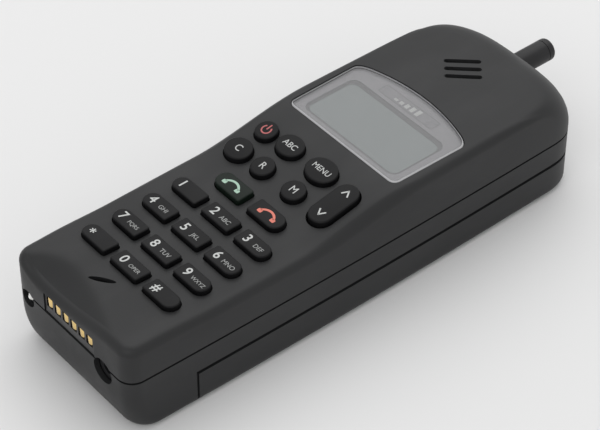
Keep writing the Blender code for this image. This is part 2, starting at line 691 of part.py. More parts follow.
def make_battery():
    top = PACK_Z - GAP / 2
    start = STEP_Y + GAP
    case = add_object("battery_case", lower_form(top), "body_plastic")
    cut(case, block(-BIG, BIG, -BIG, start, -BIG, BIG))
    cut(case, prism(plan_outline(PACK_WALL, low=start + PACK_WALL), PACK_WALL, BIG))
    cut(case, hook_boxes(), "UNION")
    cut(case, prism(latch_slot(), -BIG, PACK_WALL + GAP))
    finish(case)
    move_origin(case, HINGE)
    lid_outline = plan_outline(PACK_WALL + GAP, low=start + PACK_WALL + GAP)
    add_object("battery_lid", prism(lid_outline, top - LID_THICKNESS, top), "body_plastic", HINGE)

    cell_z = top - LID_THICKNESS - GAP - CELL_HEIGHT
    first_y = start + PACK_WALL + 2 * GAP
    for index in range(5):
        column, row = index % 3 - 1, index // 3
        x = column * (CELL_WIDTH + GAP)
        y = first_y + row * (CELL_LENGTH + GAP)
        outline = box_outline(x - CELL_WIDTH / 2, x + CELL_WIDTH / 2, y, y + CELL_LENGTH, 1.0, 1.0)
        add_object(f"battery_cell_{index + 1}", prism(outline, cell_z, cell_z + CELL_HEIGHT),
                   "cell_wrap", HINGE)

    pad = box_outline(-LATCH_WIDTH / 2, LATCH_WIDTH / 2, LATCH_Y - LATCH_LENGTH / 2,
                      LATCH_Y + LATCH_LENGTH / 2, 1.2, 1.2)
    plate_low = PACK_WALL + GAP
    latch = add_object("battery_latch", prism(pad, LATCH_LOW, plate_low + 1.0), "black_plastic")
    half = LATCH_WIDTH / 2 + LATCH_LIP
    plate = block(-half, half, LATCH_Y - LATCH_LENGTH / 2 - LATCH_TRAVEL - LATCH_LIP,
                  LATCH_Y + LATCH_LENGTH / 2 + LATCH_LIP, plate_low, plate_low + LATCH_PLATE)
    cut(latch, plate, "UNION")
    finish(latch)
    move_origin(latch, (0, LATCH_Y, LATCH_LOW))


# ---------------------------------------------------------------- aerial
def make_aerial():
    end = HALF_LENGTH
    z = PARTING_Z
    bush_radius = CAP_RADIUS + CAP_CLEARANCE - GAP
    bush_end = end - 0.6
    start = bush_end - BUSH_LENGTH
    shoulder = end - BUSH_HEAD
    bush = add_object("antenna_bushing", rod(AERIAL_X, z, [
        (start, bush_radius - 1.0), (shoulder - GAP, bush_radius - 1.0), (shoulder, bush_radius),
        (bush_end, bush_radius)]), "black_plastic")
    cut(bush, rod(AERIAL_X, z, [(start - 5, ROD_RADIUS + GAP), (end + 5, ROD_RADIUS + GAP)]))
    finish(bush)
    cap_start = end + GAP
    joint = cap_start + SOCKET_IN_CAP
    foot = joint - ROD_LENGTH
    sections = [(foot, ROD_RADIUS * STOP_SIZE), (foot + STOP_LENGTH, ROD_RADIUS * STOP_SIZE),
                (foot + STOP_LENGTH + 0.2, ROD_RADIUS), (joint - GAP, ROD_RADIUS)]
    add_object("antenna_rod", rod(AERIAL_X, z, sections, 12), "steel", (AERIAL_X, end, z))
    tip = cap_start + CAP_LENGTH
    cap = add_object("antenna_cap", rod(AERIAL_X, z, [
        (cap_start, CAP_RADIUS - 0.3), (cap_start + 0.3, CAP_RADIUS), (tip - 1.6, CAP_RADIUS),
        (tip - 0.5, CAP_RADIUS - 0.5), (tip, CAP_RADIUS - 1.6)], 24), "black_plastic")
    cut(cap, rod(AERIAL_X, z, [(cap_start - 5, ROD_RADIUS + GAP), (joint, ROD_RADIUS + GAP)]))
    finish(cap)
    move_origin(cap, (AERIAL_X, end, z))


# ---------------------------------------------------------------- inside
def make_inside():
    half = BOARD_HALF_WIDTH
    key_top = KEY_BOARD_Z + BOARD_THICKNESS
    board_top = MAIN_BOARD_Z + BOARD_THICKNESS
    add_object("main_board", block(-half, half, MAIN_BOARD_START, MAIN_BOARD_END,
                                   MAIN_BOARD_Z, board_top), "board_green")
    add_object("rf_shield", block(0, half - SHIELD_INSET, *SHIELD_SPAN, board_top + GAP,
                                  SHIELD_TOP), "steel")
    wide = KEY_PITCH_X + KEY_WIDTH / 2 + KEY_BOARD_MARGIN
    start = KEY_ROW_Y - 3 * KEY_PITCH_Y - KEY_DEPTH / 2 - KEY_BOARD_MARGIN
    add_object("key_board", block(-wide, wide, start, LCD_TOP + HOLDER_HEAD, KEY_BOARD_Z, key_top),
               "board_green")
    mat_end = LCD_BOTTOM - HOLDER_FOOT - 1.1
    add_object("key_mat", block(-wide, wide, start, mat_end, key_top + GAP,
                                key_top + GAP + MAT_THICKNESS), "mat_rubber")
    capsule = circle(EAR_X, EAR_Y, EAR_RADIUS, 24)
    ear_top = min(top_height(x, y) for x, y in capsule) - WALL - 2 * GAP
    add_object("earpiece", prism(capsule, ear_top - EAR_THICKNESS, ear_top), "steel")
    capsule = circle(MIC_X, MIC_Y, MIC_RADIUS, 16)
    mic_top = min(top_height(x, y) for x, y in capsule) - WALL - MIC_AIR
    add_object("microphone", prism(capsule, mic_top - MIC_THICKNESS, mic_top), "steel")
    card_y = STEP_Y + 14
    card = box_outline(-CARD_HALF_WIDTH, CARD_HALF_WIDTH, card_y, card_y + CARD_LENGTH, 3, 3)
    add_object("sim_card", prism(card, CARD_Z, CARD_Z + CARD_THICKNESS), "card_plastic")
    add_object("battery_terminals", block(*terminal_box()), "gold")


def make_screws():
    """Lower screws with their heads in the chin, and headless upper ones through the rear cover."""
    low, high = SCREW_YS
    seat, tip = SCREW_SEAT_Z - GAP, PARTING_Z + SCREW_BITE
    for side, x in (("left", -SCREW_X), ("right", SCREW_X)):
        shank, head = circle(x, low, SCREW_RADIUS, 10), circle(x, low, SCREW_HEAD_RADIUS, 10)
        rings = [ring(head, seat - SCREW_HEAD), ring(head, seat), ring(shank, seat), ring(shank, tip)]
        add_object("screw_lower_" + side, loft(rings), "steel")
        stud = circle(x, high, SCREW_RADIUS, 10)
        add_object("screw_upper_" + side, prism(stud, PACK_Z + GAP / 2, tip), "steel")


# ---------------------------------------------------------------- chin end
def make_chin():
    face = CHIN_Y + CHIN_RECESS
    low = PARTING_Z + GAP / 2
    half = CONNECTOR_WIDTH / 2
    body = add_object("connector_body", block(
        CONNECTOR_X - half, CONNECTOR_X + half, face, face + CONNECTOR_DEPTH,
        low, low + CONNECTOR_HEIGHT), "black_plastic")
    grooves = bmesh.new()
    first = CONNECTOR_X - CONTACT_PITCH * (CONTACT_COUNT - 1) / 2
    places = [first + i * CONTACT_PITCH for i in range(CONTACT_COUNT)]
    pad = CONTACT_WIDTH / 2
    z0, z1 = low + CONTACT_LOW, low + CONTACT_HIGH
    for x in places:
        block(x - pad - GAP, x + pad + GAP, face - 5, face + CONTACT_DEPTH, z0 - GAP, BIG, grooves)
    cut(body, grooves)
    finish(body)
    back = face + CONTACT_DEPTH - GAP
    for index, x in enumerate(places):
        profile = [(face, z0), (back, z0), (back, z1), (face + 0.3, z1), (face - 0.1, (z0 + z1) / 2)]
        rings = [[(x + side * pad, y, z) for y, z in profile] for side in (-1, 1)]
        add_object(f"contact_{index + 1}", loft(rings), "gold")

    for name, x, z, radius, bore, inset in (
            ("aux_socket", AUX_X, AUX_Z, AUX_RADIUS, AUX_BORE, 1.5),
            ("charger_socket", CHARGER_X, CHARGER_Z, CHARGER_RADIUS, CHARGER_BORE, 1.2)):
        start, end = face + inset, face + SOCKET_DEPTH
        socket = add_object(name, rod(x, z, [(start, radius - GAP), (end, radius - GAP)], 20),
                            "black_plastic")
        cut(socket, rod(x, z, [(start - 3, bore), (end - 2, bore)], 16))
        finish(socket)
    pin = [(face + 0.1, PIN_RADIUS / 2), (face + 0.6, PIN_RADIUS),
           (face + SOCKET_DEPTH - 2 - GAP, PIN_RADIUS)]
    add_object("charger_pin", rod(CHARGER_X, CHARGER_Z, pin, 12), "steel")


def build():
    for old in list(bpy.data.objects):
        bpy.data.objects.remove(old)
    make_front_cover()
    make_rear_cover()
    make_battery()
    make_display()
    for name, outline in all_keys():
        make_key(name, outline)
    make_key("scroll_rocker", rocker_outline(), ROCKER_ROOM, ROCKER_AXIS_Z)
    make_aerial()
    make_inside()
    make_screws()
    make_chin()


build()
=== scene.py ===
# %% [markdown]
# # An early mobile brick phone
#
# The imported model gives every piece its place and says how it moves. This lesson gives the phone its looks:
# smooth moulded covers, soft keys with printed legends, a smoky display window and gilded contacts. Each piece
# is a new mesh that stands for the plain one of the same name, or keeps that mesh and gets a better finish.

# %% Load the frame
import math

import bpy
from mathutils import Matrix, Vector


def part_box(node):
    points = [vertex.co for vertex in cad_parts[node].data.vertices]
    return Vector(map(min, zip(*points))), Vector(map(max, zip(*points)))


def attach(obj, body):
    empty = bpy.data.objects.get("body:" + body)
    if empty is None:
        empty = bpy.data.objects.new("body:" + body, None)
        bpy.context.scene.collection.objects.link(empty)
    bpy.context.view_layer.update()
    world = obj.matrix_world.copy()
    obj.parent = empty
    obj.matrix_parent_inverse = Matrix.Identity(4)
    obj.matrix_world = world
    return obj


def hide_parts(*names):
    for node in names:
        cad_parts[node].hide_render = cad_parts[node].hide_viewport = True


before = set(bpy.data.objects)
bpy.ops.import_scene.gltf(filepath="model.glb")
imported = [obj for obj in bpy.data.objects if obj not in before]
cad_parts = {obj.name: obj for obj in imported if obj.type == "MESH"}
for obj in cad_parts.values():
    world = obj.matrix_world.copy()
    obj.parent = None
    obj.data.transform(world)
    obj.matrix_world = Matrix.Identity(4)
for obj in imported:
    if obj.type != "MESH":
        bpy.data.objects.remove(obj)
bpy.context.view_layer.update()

MM = 0.001

# %% [markdown]
# ## Working by hand, in code
#
# An operator acts on whatever is selected, so each helper starts from nothing selected. `pick` then chooses
# faces or edges by where they are, which is what a person does with the mouse.

# %% Selecting
def use(obj):
    """Make one object the only selected one."""
    if bpy.context.object and bpy.context.object.mode != "OBJECT":
        bpy.ops.object.mode_set(mode="OBJECT")
    bpy.ops.object.select_all(action="DESELECT")
    obj.select_set(True)
    bpy.context.view_layer.objects.active = obj
    return obj


def pick(obj, kind, test):
    """Go to edit mode with only the faces (centre, normal) or edges (end, end) that pass a test selected."""
    use(obj)
    bpy.ops.object.mode_set(mode="EDIT")
    bpy.ops.mesh.select_mode(type=kind)
    bpy.ops.mesh.select_all(action="DESELECT")
    bpy.ops.object.mode_set(mode="OBJECT")
    mesh = obj.data
    if kind == "FACE":
        for face in mesh.polygons:
            face.select = test(face.center, face.normal)
    else:
        for edge in mesh.edges:
            a, b = (mesh.vertices[i].co for i in edge.vertices)
            edge.select = test(a, b)
    bpy.ops.object.mode_set(mode="EDIT")


def leave(obj, name=None):
    """Back to object mode with the piece's place in its mesh and its normals outward."""
    bpy.ops.object.mode_set(mode="EDIT")
    bpy.ops.mesh.select_all(action="SELECT")
    bpy.ops.mesh.normals_make_consistent(inside=False)
    bpy.ops.object.mode_set(mode="OBJECT")
    bpy.ops.object.transform_apply(location=True, rotation=True, scale=True)
    if name:
        obj.name = name
        obj.data.name = name
    return obj


def smooth(obj, angle=35):
    use(obj)
    bpy.ops.object.shade_smooth_by_angle(angle=math.radians(angle))
    return obj


def cut(obj, *cutters, how="DIFFERENCE"):
    """Cut other meshes out of a piece with Boolean modifiers, apply them and delete the cutters."""
    for cutter in cutters:
        use(obj)
        step = obj.modifiers.new("cut", "BOOLEAN")
        step.operation = how
        step.object = cutter
        bpy.ops.object.modifier_apply(modifier=step.name)
        bpy.data.objects.remove(cutter)
    return obj


def gather(first, *others):
    """Join several meshes into the first one."""
    use(first)
    for other in others:
        other.select_set(True)
    bpy.ops.object.join()
    return first


# %% [markdown]
# ## The shape that everything follows
#
# The phone is one long form: a gently bowed outline, a face that climbs from the keys to the display, a head that
# rolls over to the parting line and a hollow that falls from the keys to the connector. The same few rules gave the
# working model its shape. They are written here again, so that the fine meshes lie exactly on it.

# %% Outline and face
cover_low, cover_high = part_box("front_cover")
rear_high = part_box("rear_cover")[1]
pack_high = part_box("battery_case")[1]
HALF_WIDTH = cover_high.x
HALF_LENGTH = cover_high.y
CHIN_Y = cover_low.y
SEAM = (cover_low.z - rear_high.z) / 2
PARTING = cover_low.z - SEAM
SIDE_BOW, EDGE_RADIUS, BACK_RADIUS = 1.1 * MM, 3.0 * MM, 3.0 * MM
CHIN_CORNER, CHIN_LEAN, CHIN_LEAN_TOP = 5.5 * MM, 5.6 * MM, 16 * MM
HEAD_ARCH, HEAD_POWER, HEAD_ROLL = 18 * MM, 3.05, 14 * MM
KEYPAD, HEAD = 34.4 * MM, 39.7 * MM
RISE_START, RISE_END = -28 * MM, 14 * MM
WALL = 1.8 * MM


def ease(t):
    t = min(max(t, 0.0), 1.0)
    return t * t * (3 - 2 * t)


def face_height(y):
    """Height of the face along the middle."""
    rise = (HEAD - KEYPAD) * ease((y - RISE_START) / (RISE_END - RISE_START))
    drop = 0.5 * MM * ease((y - 45.7 * MM) / (20 * MM))
    chin = 0.8 * MM * ease((-58.64 * MM - y) / (20 * MM))
    return KEYPAD + rise - drop + chin


def scoop_depth(x, y):
    """Depth of the hollow in the chin, which is deepest left of the middle."""
    apex = -10 * MM
    run, power = (17 * MM, 3.0) if x < apex else (36 * MM, 1.4)
    reach = 12.5 * MM * max(0.0, 1 - (abs(x - apex) / run) ** power)
    return 4.6 * MM * ease((reach - (y - CHIN_Y)) / (12 * MM))


def top_height(x, y):
    return face_height(y) - scoop_depth(x, y)


def side_x(y):
    return HALF_WIDTH - SIDE_BOW * (y / HALF_LENGTH) ** 2


def half_outline(inset, head_inset, chin_inset, sides=75, arc=12):
    """Right half of the outline, from the chin's corner to the middle of the head."""
    radius = CHIN_CORNER - inset + 0.8 * (chin_inset - inset)
    corner_y = CHIN_Y + chin_inset + radius
    corner_x = side_x(corner_y) - inset - radius
    points = []
    for i in range(arc):
        angle = math.pi / 2 * i / (arc - 1)
        points.append((corner_x + radius * math.sin(angle), corner_y - radius * math.cos(angle)))
    arch_y = HALF_LENGTH - head_inset - HEAD_ARCH
    for i in range(1, sides + 1):
        y = corner_y + (arch_y - corner_y) * (i / sides) ** 1.3
        points.append((side_x(y) - inset, y))
    half = points[-1][0]
    steps = 2 * arc
    for i in range(1, steps + 1):
        angle = math.pi / 2 * i / steps
        across = math.cos(angle) ** (2 / HEAD_POWER) if i < steps else 0.0
        points.append((half * across, arch_y + HEAD_ARCH * math.sin(angle) ** (2 / HEAD_POWER)))
    return points


STRIPS = 28


def outline(inset=0.0, head_inset=None, chin_inset=None, low=None):
    """Whole outline, anticlockwise from above, or only its part above low."""
    head_inset = inset if head_inset is None else head_inset
    half = half_outline(inset, head_inset, inset if chin_inset is None else chin_inset)
    width, y = half[0]
    end = [(width * (2 * i / STRIPS - 1), y) for i in range(1, STRIPS)]
    if low is not None:
        end = []
        half = [(side_x(low) - inset, low)] + [p for p in half if p[1] > low + SEAM]
    return end + half + [(-x, y) for x, y in reversed(half[:-1])]


print("outline points:", len(outline()), " parting line at", round(PARTING / MM, 2), "mm")

# %% [markdown]
# ## Solids from an outline
#
# A plate starts as a circle with as many corners as its outline. The corners are put on the outline, the disc is
# filled, and one extrusion makes it thick. Stacked rings give the rounded solids, one extrusion for each ring.

# %% Plates and stacked rings
def stack(name, rings):
    """Closed solid through rings of (x, y, z) points, each extruded from the one below."""
    count = len(rings[0])
    bpy.ops.object.select_all(action="DESELECT")
    bpy.ops.mesh.primitive_circle_add(vertices=count, radius=1, fill_type="NOTHING")
    obj = bpy.context.object
    for vertex, place in zip(obj.data.vertices, rings[0]):
        vertex.co = place
    bpy.ops.object.mode_set(mode="EDIT")
    bpy.ops.mesh.select_all(action="SELECT")
    bpy.ops.mesh.edge_face_add()
    bpy.ops.mesh.select_mode(type="VERT")
    for level, ring in enumerate(rings[1:], 1):
        bpy.ops.mesh.extrude_region_move()
        bpy.ops.object.mode_set(mode="OBJECT")
        for vertex, place in zip(obj.data.vertices[count * level:], ring):
            vertex.co = place
        bpy.ops.object.mode_set(mode="EDIT")
    bpy.ops.object.mode_set(mode="OBJECT")
    return leave(use(obj), name)


def ring(points, z):
    return [(x, y, z(x, y) if callable(z) else z) for x, y in points]


def plate(name, points, low, high):
    return stack(name, [ring(points, low), ring(points, high)])


print("a stack of", len(outline()), "points a ring makes each rounded solid")

# %% [markdown]
# ## Finishes
#
# The real phone is one dark plastic with a fine spark-eroded grain, keys of harder, glossier rubber, printed
# legends, a clear window and a few bright metals. Grain, wear and smudges are used by many materials, so each is a
# shader node group that gives back a value, and every material then sets its own amounts.

# %% Shared effects
def new_group(name, inputs, outputs):
    group = bpy.data.node_groups.new(name, "ShaderNodeTree")
    for label, default in inputs:
        socket = group.interface.new_socket(label, in_out="INPUT", socket_type="NodeSocketFloat")
        socket.default_value = default
    for label in outputs:
        group.interface.new_socket(label, in_out="OUTPUT", socket_type="NodeSocketFloat")
    start = group.nodes.new("NodeGroupInput")
    end = group.nodes.new("NodeGroupOutput")
    return group, start, end


def math_node(nodes, links, operation, a, b):
    """Maths node whose inputs are numbers or sockets."""
    node = nodes.new("ShaderNodeMath")
    node.operation = operation
    for socket, value in zip(node.inputs, (a, b)):
        if isinstance(value, (int, float)):
            socket.default_value = value
        else:
            links.new(value, socket)
    return node.outputs[0]


def make_grain():
    """Spark-eroded mould texture: fine bumps of two sizes, as a height from 0 to 1."""
    group, start, end = new_group("mould_grain", [("Fineness", 3000.0)], ["Height", "Mottle"])
    nodes, links = group.nodes, group.links
    place = nodes.new("ShaderNodeTexCoord")
    fine = nodes.new("ShaderNodeTexNoise")
    fine.inputs["Detail"].default_value = 2.0
    coarse = nodes.new("ShaderNodeTexVoronoi")
    broad = nodes.new("ShaderNodeTexNoise")
    broad.inputs["Scale"].default_value = 45.0
    broad.inputs["Detail"].default_value = 3.0
    for node in (fine, coarse, broad):
        links.new(place.outputs["Object"], node.inputs["Vector"])
    links.new(start.outputs["Fineness"], fine.inputs["Scale"])
    links.new(math_node(nodes, links, "MULTIPLY", start.outputs["Fineness"], 0.6), coarse.inputs["Scale"])
    low = math_node(nodes, links, "MULTIPLY", coarse.outputs["Distance"], 0.6)
    links.new(math_node(nodes, links, "ADD", fine.outputs["Fac"], low), end.inputs["Height"])
    links.new(broad.outputs["Fac"], end.inputs["Mottle"])
    return group


def make_smudges():
    """Skin grease and dust from handling: soft patches with streaks, as a mask from 0 to 1."""
    group, start, end = new_group("handling", [("Size", 60.0)], ["Mask"])
    nodes, links = group.nodes, group.links
    place = nodes.new("ShaderNodeTexCoord")
    stretch = nodes.new("ShaderNodeMapping")
    stretch.inputs["Scale"].default_value = (1.0, 0.35, 1.0)
    patches = nodes.new("ShaderNodeTexNoise")
    patches.inputs["Detail"].default_value = 6.0
    patches.inputs["Roughness"].default_value = 0.62
    ramp = nodes.new("ShaderNodeValToRGB")
    ramp.color_ramp.elements[0].position = 0.42
    ramp.color_ramp.elements[1].position = 0.72
    links.new(place.outputs["Object"], stretch.inputs["Vector"])
    links.new(stretch.outputs["Vector"], patches.inputs["Vector"])
    links.new(start.outputs["Size"], patches.inputs["Scale"])
    links.new(patches.outputs["Fac"], ramp.inputs["Fac"])
    links.new(ramp.outputs["Color"], end.inputs["Mask"])
    return group


def make_wear():
    """Rubbed corners: a mask that is strongest on convex edges and broken up by noise."""
    group, start, end = new_group("edge_wear", [("Amount", 1.0)], ["Mask"])
    nodes, links = group.nodes, group.links
    place = nodes.new("ShaderNodeTexCoord")
    shape = nodes.new("ShaderNodeNewGeometry")
    ramp = nodes.new("ShaderNodeValToRGB")
    ramp.color_ramp.elements[0].position = 0.52
    ramp.color_ramp.elements[1].position = 0.62
    broken = nodes.new("ShaderNodeTexNoise")
    broken.inputs["Scale"].default_value = 420.0
    links.new(shape.outputs["Pointiness"], ramp.inputs["Fac"])
    links.new(place.outputs["Object"], broken.inputs["Vector"])
    rubbed = math_node(nodes, links, "MULTIPLY", ramp.outputs["Color"], broken.outputs["Fac"])
    links.new(math_node(nodes, links, "MULTIPLY", rubbed, start.outputs["Amount"]), end.inputs["Mask"])
    return group


GRAIN, SMUDGES, WEAR = make_grain(), make_smudges(), make_wear()
print("shared effects:", [g.name for g in bpy.data.node_groups])

# %% [markdown]
# A moulded finish mixes two close colours by the broad mottle, lightens rubbed edges, lets grease change the
# roughness and turns the grain into a bump. The same builder makes the covers, the keys and the small parts.

# %% Moulded plastics and metals
def blank(name, colour, roughness, metallic=0.0):
    made = bpy.data.materials.new(name)
    made.use_nodes = True
    shader = made.node_tree.nodes["Principled BSDF"]
    shader.inputs["Base Color"].default_value = (*colour, 1.0)
    shader.inputs["Roughness"].default_value = roughness
    shader.inputs["Metallic"].default_value = metallic
    return made, shader


def put_group(tree, group, value):
    node = tree.nodes.new("ShaderNodeGroup")
    node.node_tree = group
    node.inputs[0].default_value = value
    return node


def mix_colours(tree, factor, first, second):
    """Mix of two colours, of which the first may be a socket."""
    node = tree.nodes.new("ShaderNodeMix")
    node.data_type = "RGBA"
    tree.links.new(factor, node.inputs["Factor"])
    if isinstance(first, bpy.types.NodeSocket):
        tree.links.new(first, node.inputs["A"])
    else:
        node.inputs["A"].default_value = (*first, 1.0)
    node.inputs["B"].default_value = (*second, 1.0)
    return node.outputs["Result"]


def add_bump(tree, shader, height, depth):
    bump = tree.nodes.new("ShaderNodeBump")
    bump.inputs["Strength"].default_value = 1.0
    bump.inputs["Distance"].default_value = depth
    tree.links.new(height, bump.inputs["Height"])
    tree.links.new(bump.outputs["Normal"], shader.inputs["Normal"])


def moulded(name, colour, roughness, fineness=3000.0, depth=0.00002, wear=0.3, grease=0.12,
            mottle=0.08, metallic=0.0, specular=0.5):
    """Finish with grain, mottle, rubbed edges and handling marks."""
    made, shader = blank(name, colour, roughness, metallic)
    tree = made.node_tree
    shader.inputs["Specular IOR Level"].default_value = specular
    grain = put_group(tree, GRAIN, fineness)
    rubbed = put_group(tree, WEAR, wear)
    marks = put_group(tree, SMUDGES, 60.0)
    tone = mix_colours(tree, grain.outputs["Mottle"], [c * (1 - mottle) for c in colour],
                       [c * (1 + mottle) for c in colour])
    worn = mix_colours(tree, rubbed.outputs["Mask"], tone, [min(1.0, c * 1.9 + 0.01) for c in colour])
    tree.links.new(worn, shader.inputs["Base Color"])
    shine = math_node(tree.nodes, tree.links, "MULTIPLY", marks.outputs["Mask"], -grease)
    tree.links.new(math_node(tree.nodes, tree.links, "ADD", shine, roughness), shader.inputs["Roughness"])
    add_bump(tree, shader, grain.outputs["Height"], depth)
    return made


def ink(name, colour, mottle=0.08):
    return moulded(name, colour, 0.5, fineness=5000, depth=0.000004, wear=0.0, mottle=mottle)


def key_rubber(name, colour):
    return moulded(name, colour, 0.42, fineness=4000, depth=0.000006, wear=0.4, specular=0.16)


def metal(name, colour, roughness):
    return moulded(name, colour, roughness, fineness=2500, depth=0.00001, wear=0.3, metallic=1.0)


FINISHES = {
    "body": moulded("body_charcoal", (0.017, 0.0173, 0.018), 0.50, depth=0.000012, wear=0.25, specular=0.3),
    "key": key_rubber("key_black", (0.0045, 0.0045, 0.005)),
    "send": key_rubber("key_green", (0.0048, 0.0095, 0.0063)),
    "ink": ink("ink_white", (0.50, 0.51, 0.50), 0.05),
    "ink_soft": ink("ink_grey", (0.27, 0.275, 0.27)),
    # painted highlight: the charger pin is a light non-metal grey that stands for the bright glint on its metal
    "pin": moulded("pin_painted_highlight", (0.86, 0.86, 0.84), 0.25, wear=0.0),
    "ink_green": ink("ink_green", (0.34, 0.50, 0.40)),
    "ink_red": ink("ink_red", (0.66, 0.17, 0.12)),
    "ink_power": ink("ink_power", (0.42, 0.10, 0.10)),
    "black": moulded("socket_black", (0.012, 0.012, 0.013), 0.42, wear=0.1),
    "antenna": moulded("aerial_black", (0.014, 0.014, 0.015), 0.45, depth=0.000008, wear=0.3, specular=0.3),
    "mask": moulded("mask_grey", (0.29, 0.286, 0.295), 0.45, fineness=5000, depth=0.000001, wear=0.0,
                    mottle=0.04),
    # partly painted shade: the bezel's dark grey stands for the shadow of the mask's edge on the display; the
    # badge's printed outline shares it
    "bezel": moulded("bezel_shade_and_outline_grey", (0.17, 0.172, 0.172), 0.5, fineness=5000, depth=0.000002, wear=0.0),
    "badge": moulded("badge_grey", (0.25, 0.247, 0.255), 0.32, fineness=5000, depth=0.000001, wear=0.0),
    # painted highlight: opaque light grey for the light caught on the window's clear edge
    "rim": moulded("window_rim", (0.50, 0.50, 0.51), 0.2, fineness=5000, depth=0.000001, wear=0.0),
    "white": moulded("guide_white", (0.62, 0.62, 0.60), 0.4, wear=0.0),
    "board": moulded("board_green", (0.03, 0.17, 0.07), 0.35, fineness=900, wear=0.0, mottle=0.3),
    "mat": moulded("mat_silicone", (0.16, 0.16, 0.17), 0.6, wear=0.0),
    "card": moulded("card_white", (0.68, 0.68, 0.70), 0.3, wear=0.0, mottle=0.03),
    "cell": moulded("cell_wrap_blue", (0.05, 0.13, 0.36), 0.3, fineness=600, wear=0.0, mottle=0.2),
    "gold": metal("contact_gold", (0.86, 0.62, 0.26), 0.24),
    "steel": metal("plated_steel", (0.66, 0.66, 0.67), 0.26),
}


def wear_finish(obj, finish, slot, body="handset", *nodes):
    """Give a piece its finish, let it ride on a body and stand for CAD nodes; the slot argument is not used."""
    obj.data.materials.clear()
    obj.data.materials.append(FINISHES[finish])
    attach(obj, body)
    if nodes:
        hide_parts(*nodes)
    return obj


print("finishes:", len(FINISHES))

# %% [markdown]
# The display glass is liquid crystal over a diffuse mirror, so it is a matt grey-green with a faint sheen and a
# slow, patchy change of tone. The window over it is clear acrylic with a smoky tint. Light has to pass
# straight through it to the mask below, which thin tinted alpha does well and solid refracting glass does not.

# %% Display glass and window
def make_lcd():
    made, shader = blank("lcd_glass", (0.27, 0.295, 0.29), 0.3)
    tree = made.node_tree
    grain = put_group(tree, GRAIN, 5000.0)
    tone = mix_colours(tree, grain.outputs["Mottle"], (0.235, 0.262, 0.255), (0.258, 0.282, 0.279))
    tree.links.new(tone, shader.inputs["Base Color"])
    add_bump(tree, shader, grain.outputs["Height"], 0.0000005)
    return made


def make_window():
    made, shader = blank("window_acrylic", (0.30, 0.30, 0.31), 0.06)
    tree = made.node_tree
    nodes, links = tree.nodes, tree.links
    marks = put_group(tree, SMUDGES, 90.0)
    haze = math_node(nodes, links, "MULTIPLY", marks.outputs["Mask"], 0.10)
    links.new(math_node(nodes, links, "ADD", haze, 0.12), shader.inputs["Roughness"])
    shader.inputs["Alpha"].default_value = 0.16
    return made


FINISHES["lcd"] = make_lcd()
FINISHES["window"] = make_window()
print("materials so far:", len(bpy.data.materials))

# %% [markdown]
# ## Front cover
#
# The cover is an injection moulding whose face bends in every direction, so no primitive comes near it. Rings
# of points climb from the parting line over the rolled edge, strips cross the face between them, and every height
# comes from `top_height`. The same form, moved in by the wall, is cut out of it to leave a shell.

# %% The sculpted form
KEY_CLEARANCE = 0.3 * MM


def front_form(name, wall, bottom, rounds=9):
    """Closed form of the phone above its parting line, moved inwards by a wall."""
    outer = outline(wall)
    inner = outline(EDGE_RADIUS, HEAD_ROLL)
    rings = [ring(outer, bottom)]
    for k in range(rounds + 1):
        angle = math.pi / 2 * k / rounds
        blend = 1 - math.cos(angle)
        points = []
        for (ox, oy), (ix, iy) in zip(outer, inner):
            top = top_height(ix, iy) - wall
            tall = top - PARTING - 0.6 * MM
            roll = ease((oy - HALF_LENGTH + 1.7 * HEAD_ROLL) / (1.6 * HEAD_ROLL))
            edge = EDGE_RADIUS - wall * 0.55
            depth = edge + (tall - edge) * roll
            points.append((ox + (ix - ox) * blend, oy + (iy - oy) * blend,
                           top - depth * (1 - math.sin(angle))))
        rings.append(points)
    vertices = [p for r in rings for p in r]
    count = len(outer)
    faces = [tuple(reversed(range(count)))]
    for level in range(len(rings) - 1):
        low = level * count
        faces += [(low + i, low + (i + 1) % count, low + count + (i + 1) % count, low + count + i)
                  for i in range(count)]
    edge = (len(rings) - 1) * count
    first = STRIPS - 1
    half = (count - first - 1) // 2
    previous = [edge + count - 1] + [edge + i for i in range(first)] + [edge + first]
    for i in range(1, half):
        width, y = inner[first + i]
        row = [edge + count - 1 - i]
        for k in range(1, STRIPS):
            x = width * (2 * k / STRIPS - 1)
            row.append(len(vertices))
            vertices.append((x, y, top_height(x, y) - wall))
        row.append(edge + first + i)
        faces += [(previous[k], previous[k + 1], row[k + 1], row[k]) for k in range(STRIPS)]
        previous = row
    faces += [(previous[k], previous[k + 1], edge + first + half) for k in range(STRIPS)]
    mesh = bpy.data.meshes.new(name)
    mesh.from_pydata(vertices, [], faces)
    obj = bpy.data.objects.new(name, mesh)
    bpy.context.scene.collection.objects.link(obj)
    return leave(use(obj), name)


shell = front_form("front_shell", 0.0, cover_low.z)
cut(shell, front_form("front_core", WALL, PARTING - 5 * MM))
print("front shell faces:", len(shell.data.polygons))

# %% [markdown]
# ## Where the keys are
#
# Each key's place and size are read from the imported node's box, less the hidden flange that keeps it in the cover.

# %% Key places
FLANGE = 0.5 * MM
PROUD = 1.8 * MM
NUMBERS = {"1": "", "2": "ABC", "3": "DEF", "4": "GHI", "5": "JKL", "6": "MNO", "7": "PQRS", "8": "TUV",
           "9": "WXYZ", "star": "", "0": "OPER", "hash": ""}
OVALS = {"clear": "C", "recall": "R", "memory": "M", "power": "", "abc": "ABC", "menu": "MENU"}


def key_box(name):
    """Low and high corner of the part of a key that shows, and the bottom of its flange."""
    low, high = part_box(name)
    return (Vector((low.x + FLANGE, low.y + FLANGE, low.z)),
            Vector((high.x - FLANGE, high.y - FLANGE, high.z)))


def key_top(node, y):
    """Height of a key's flat top at y: it runs straight between the heights of its two edges."""
    low, high = key_box(node)
    share = (y - low.y) / (high.y - low.y)
    return face_height(low.y) * (1 - share) + face_height(high.y) * share + PROUD


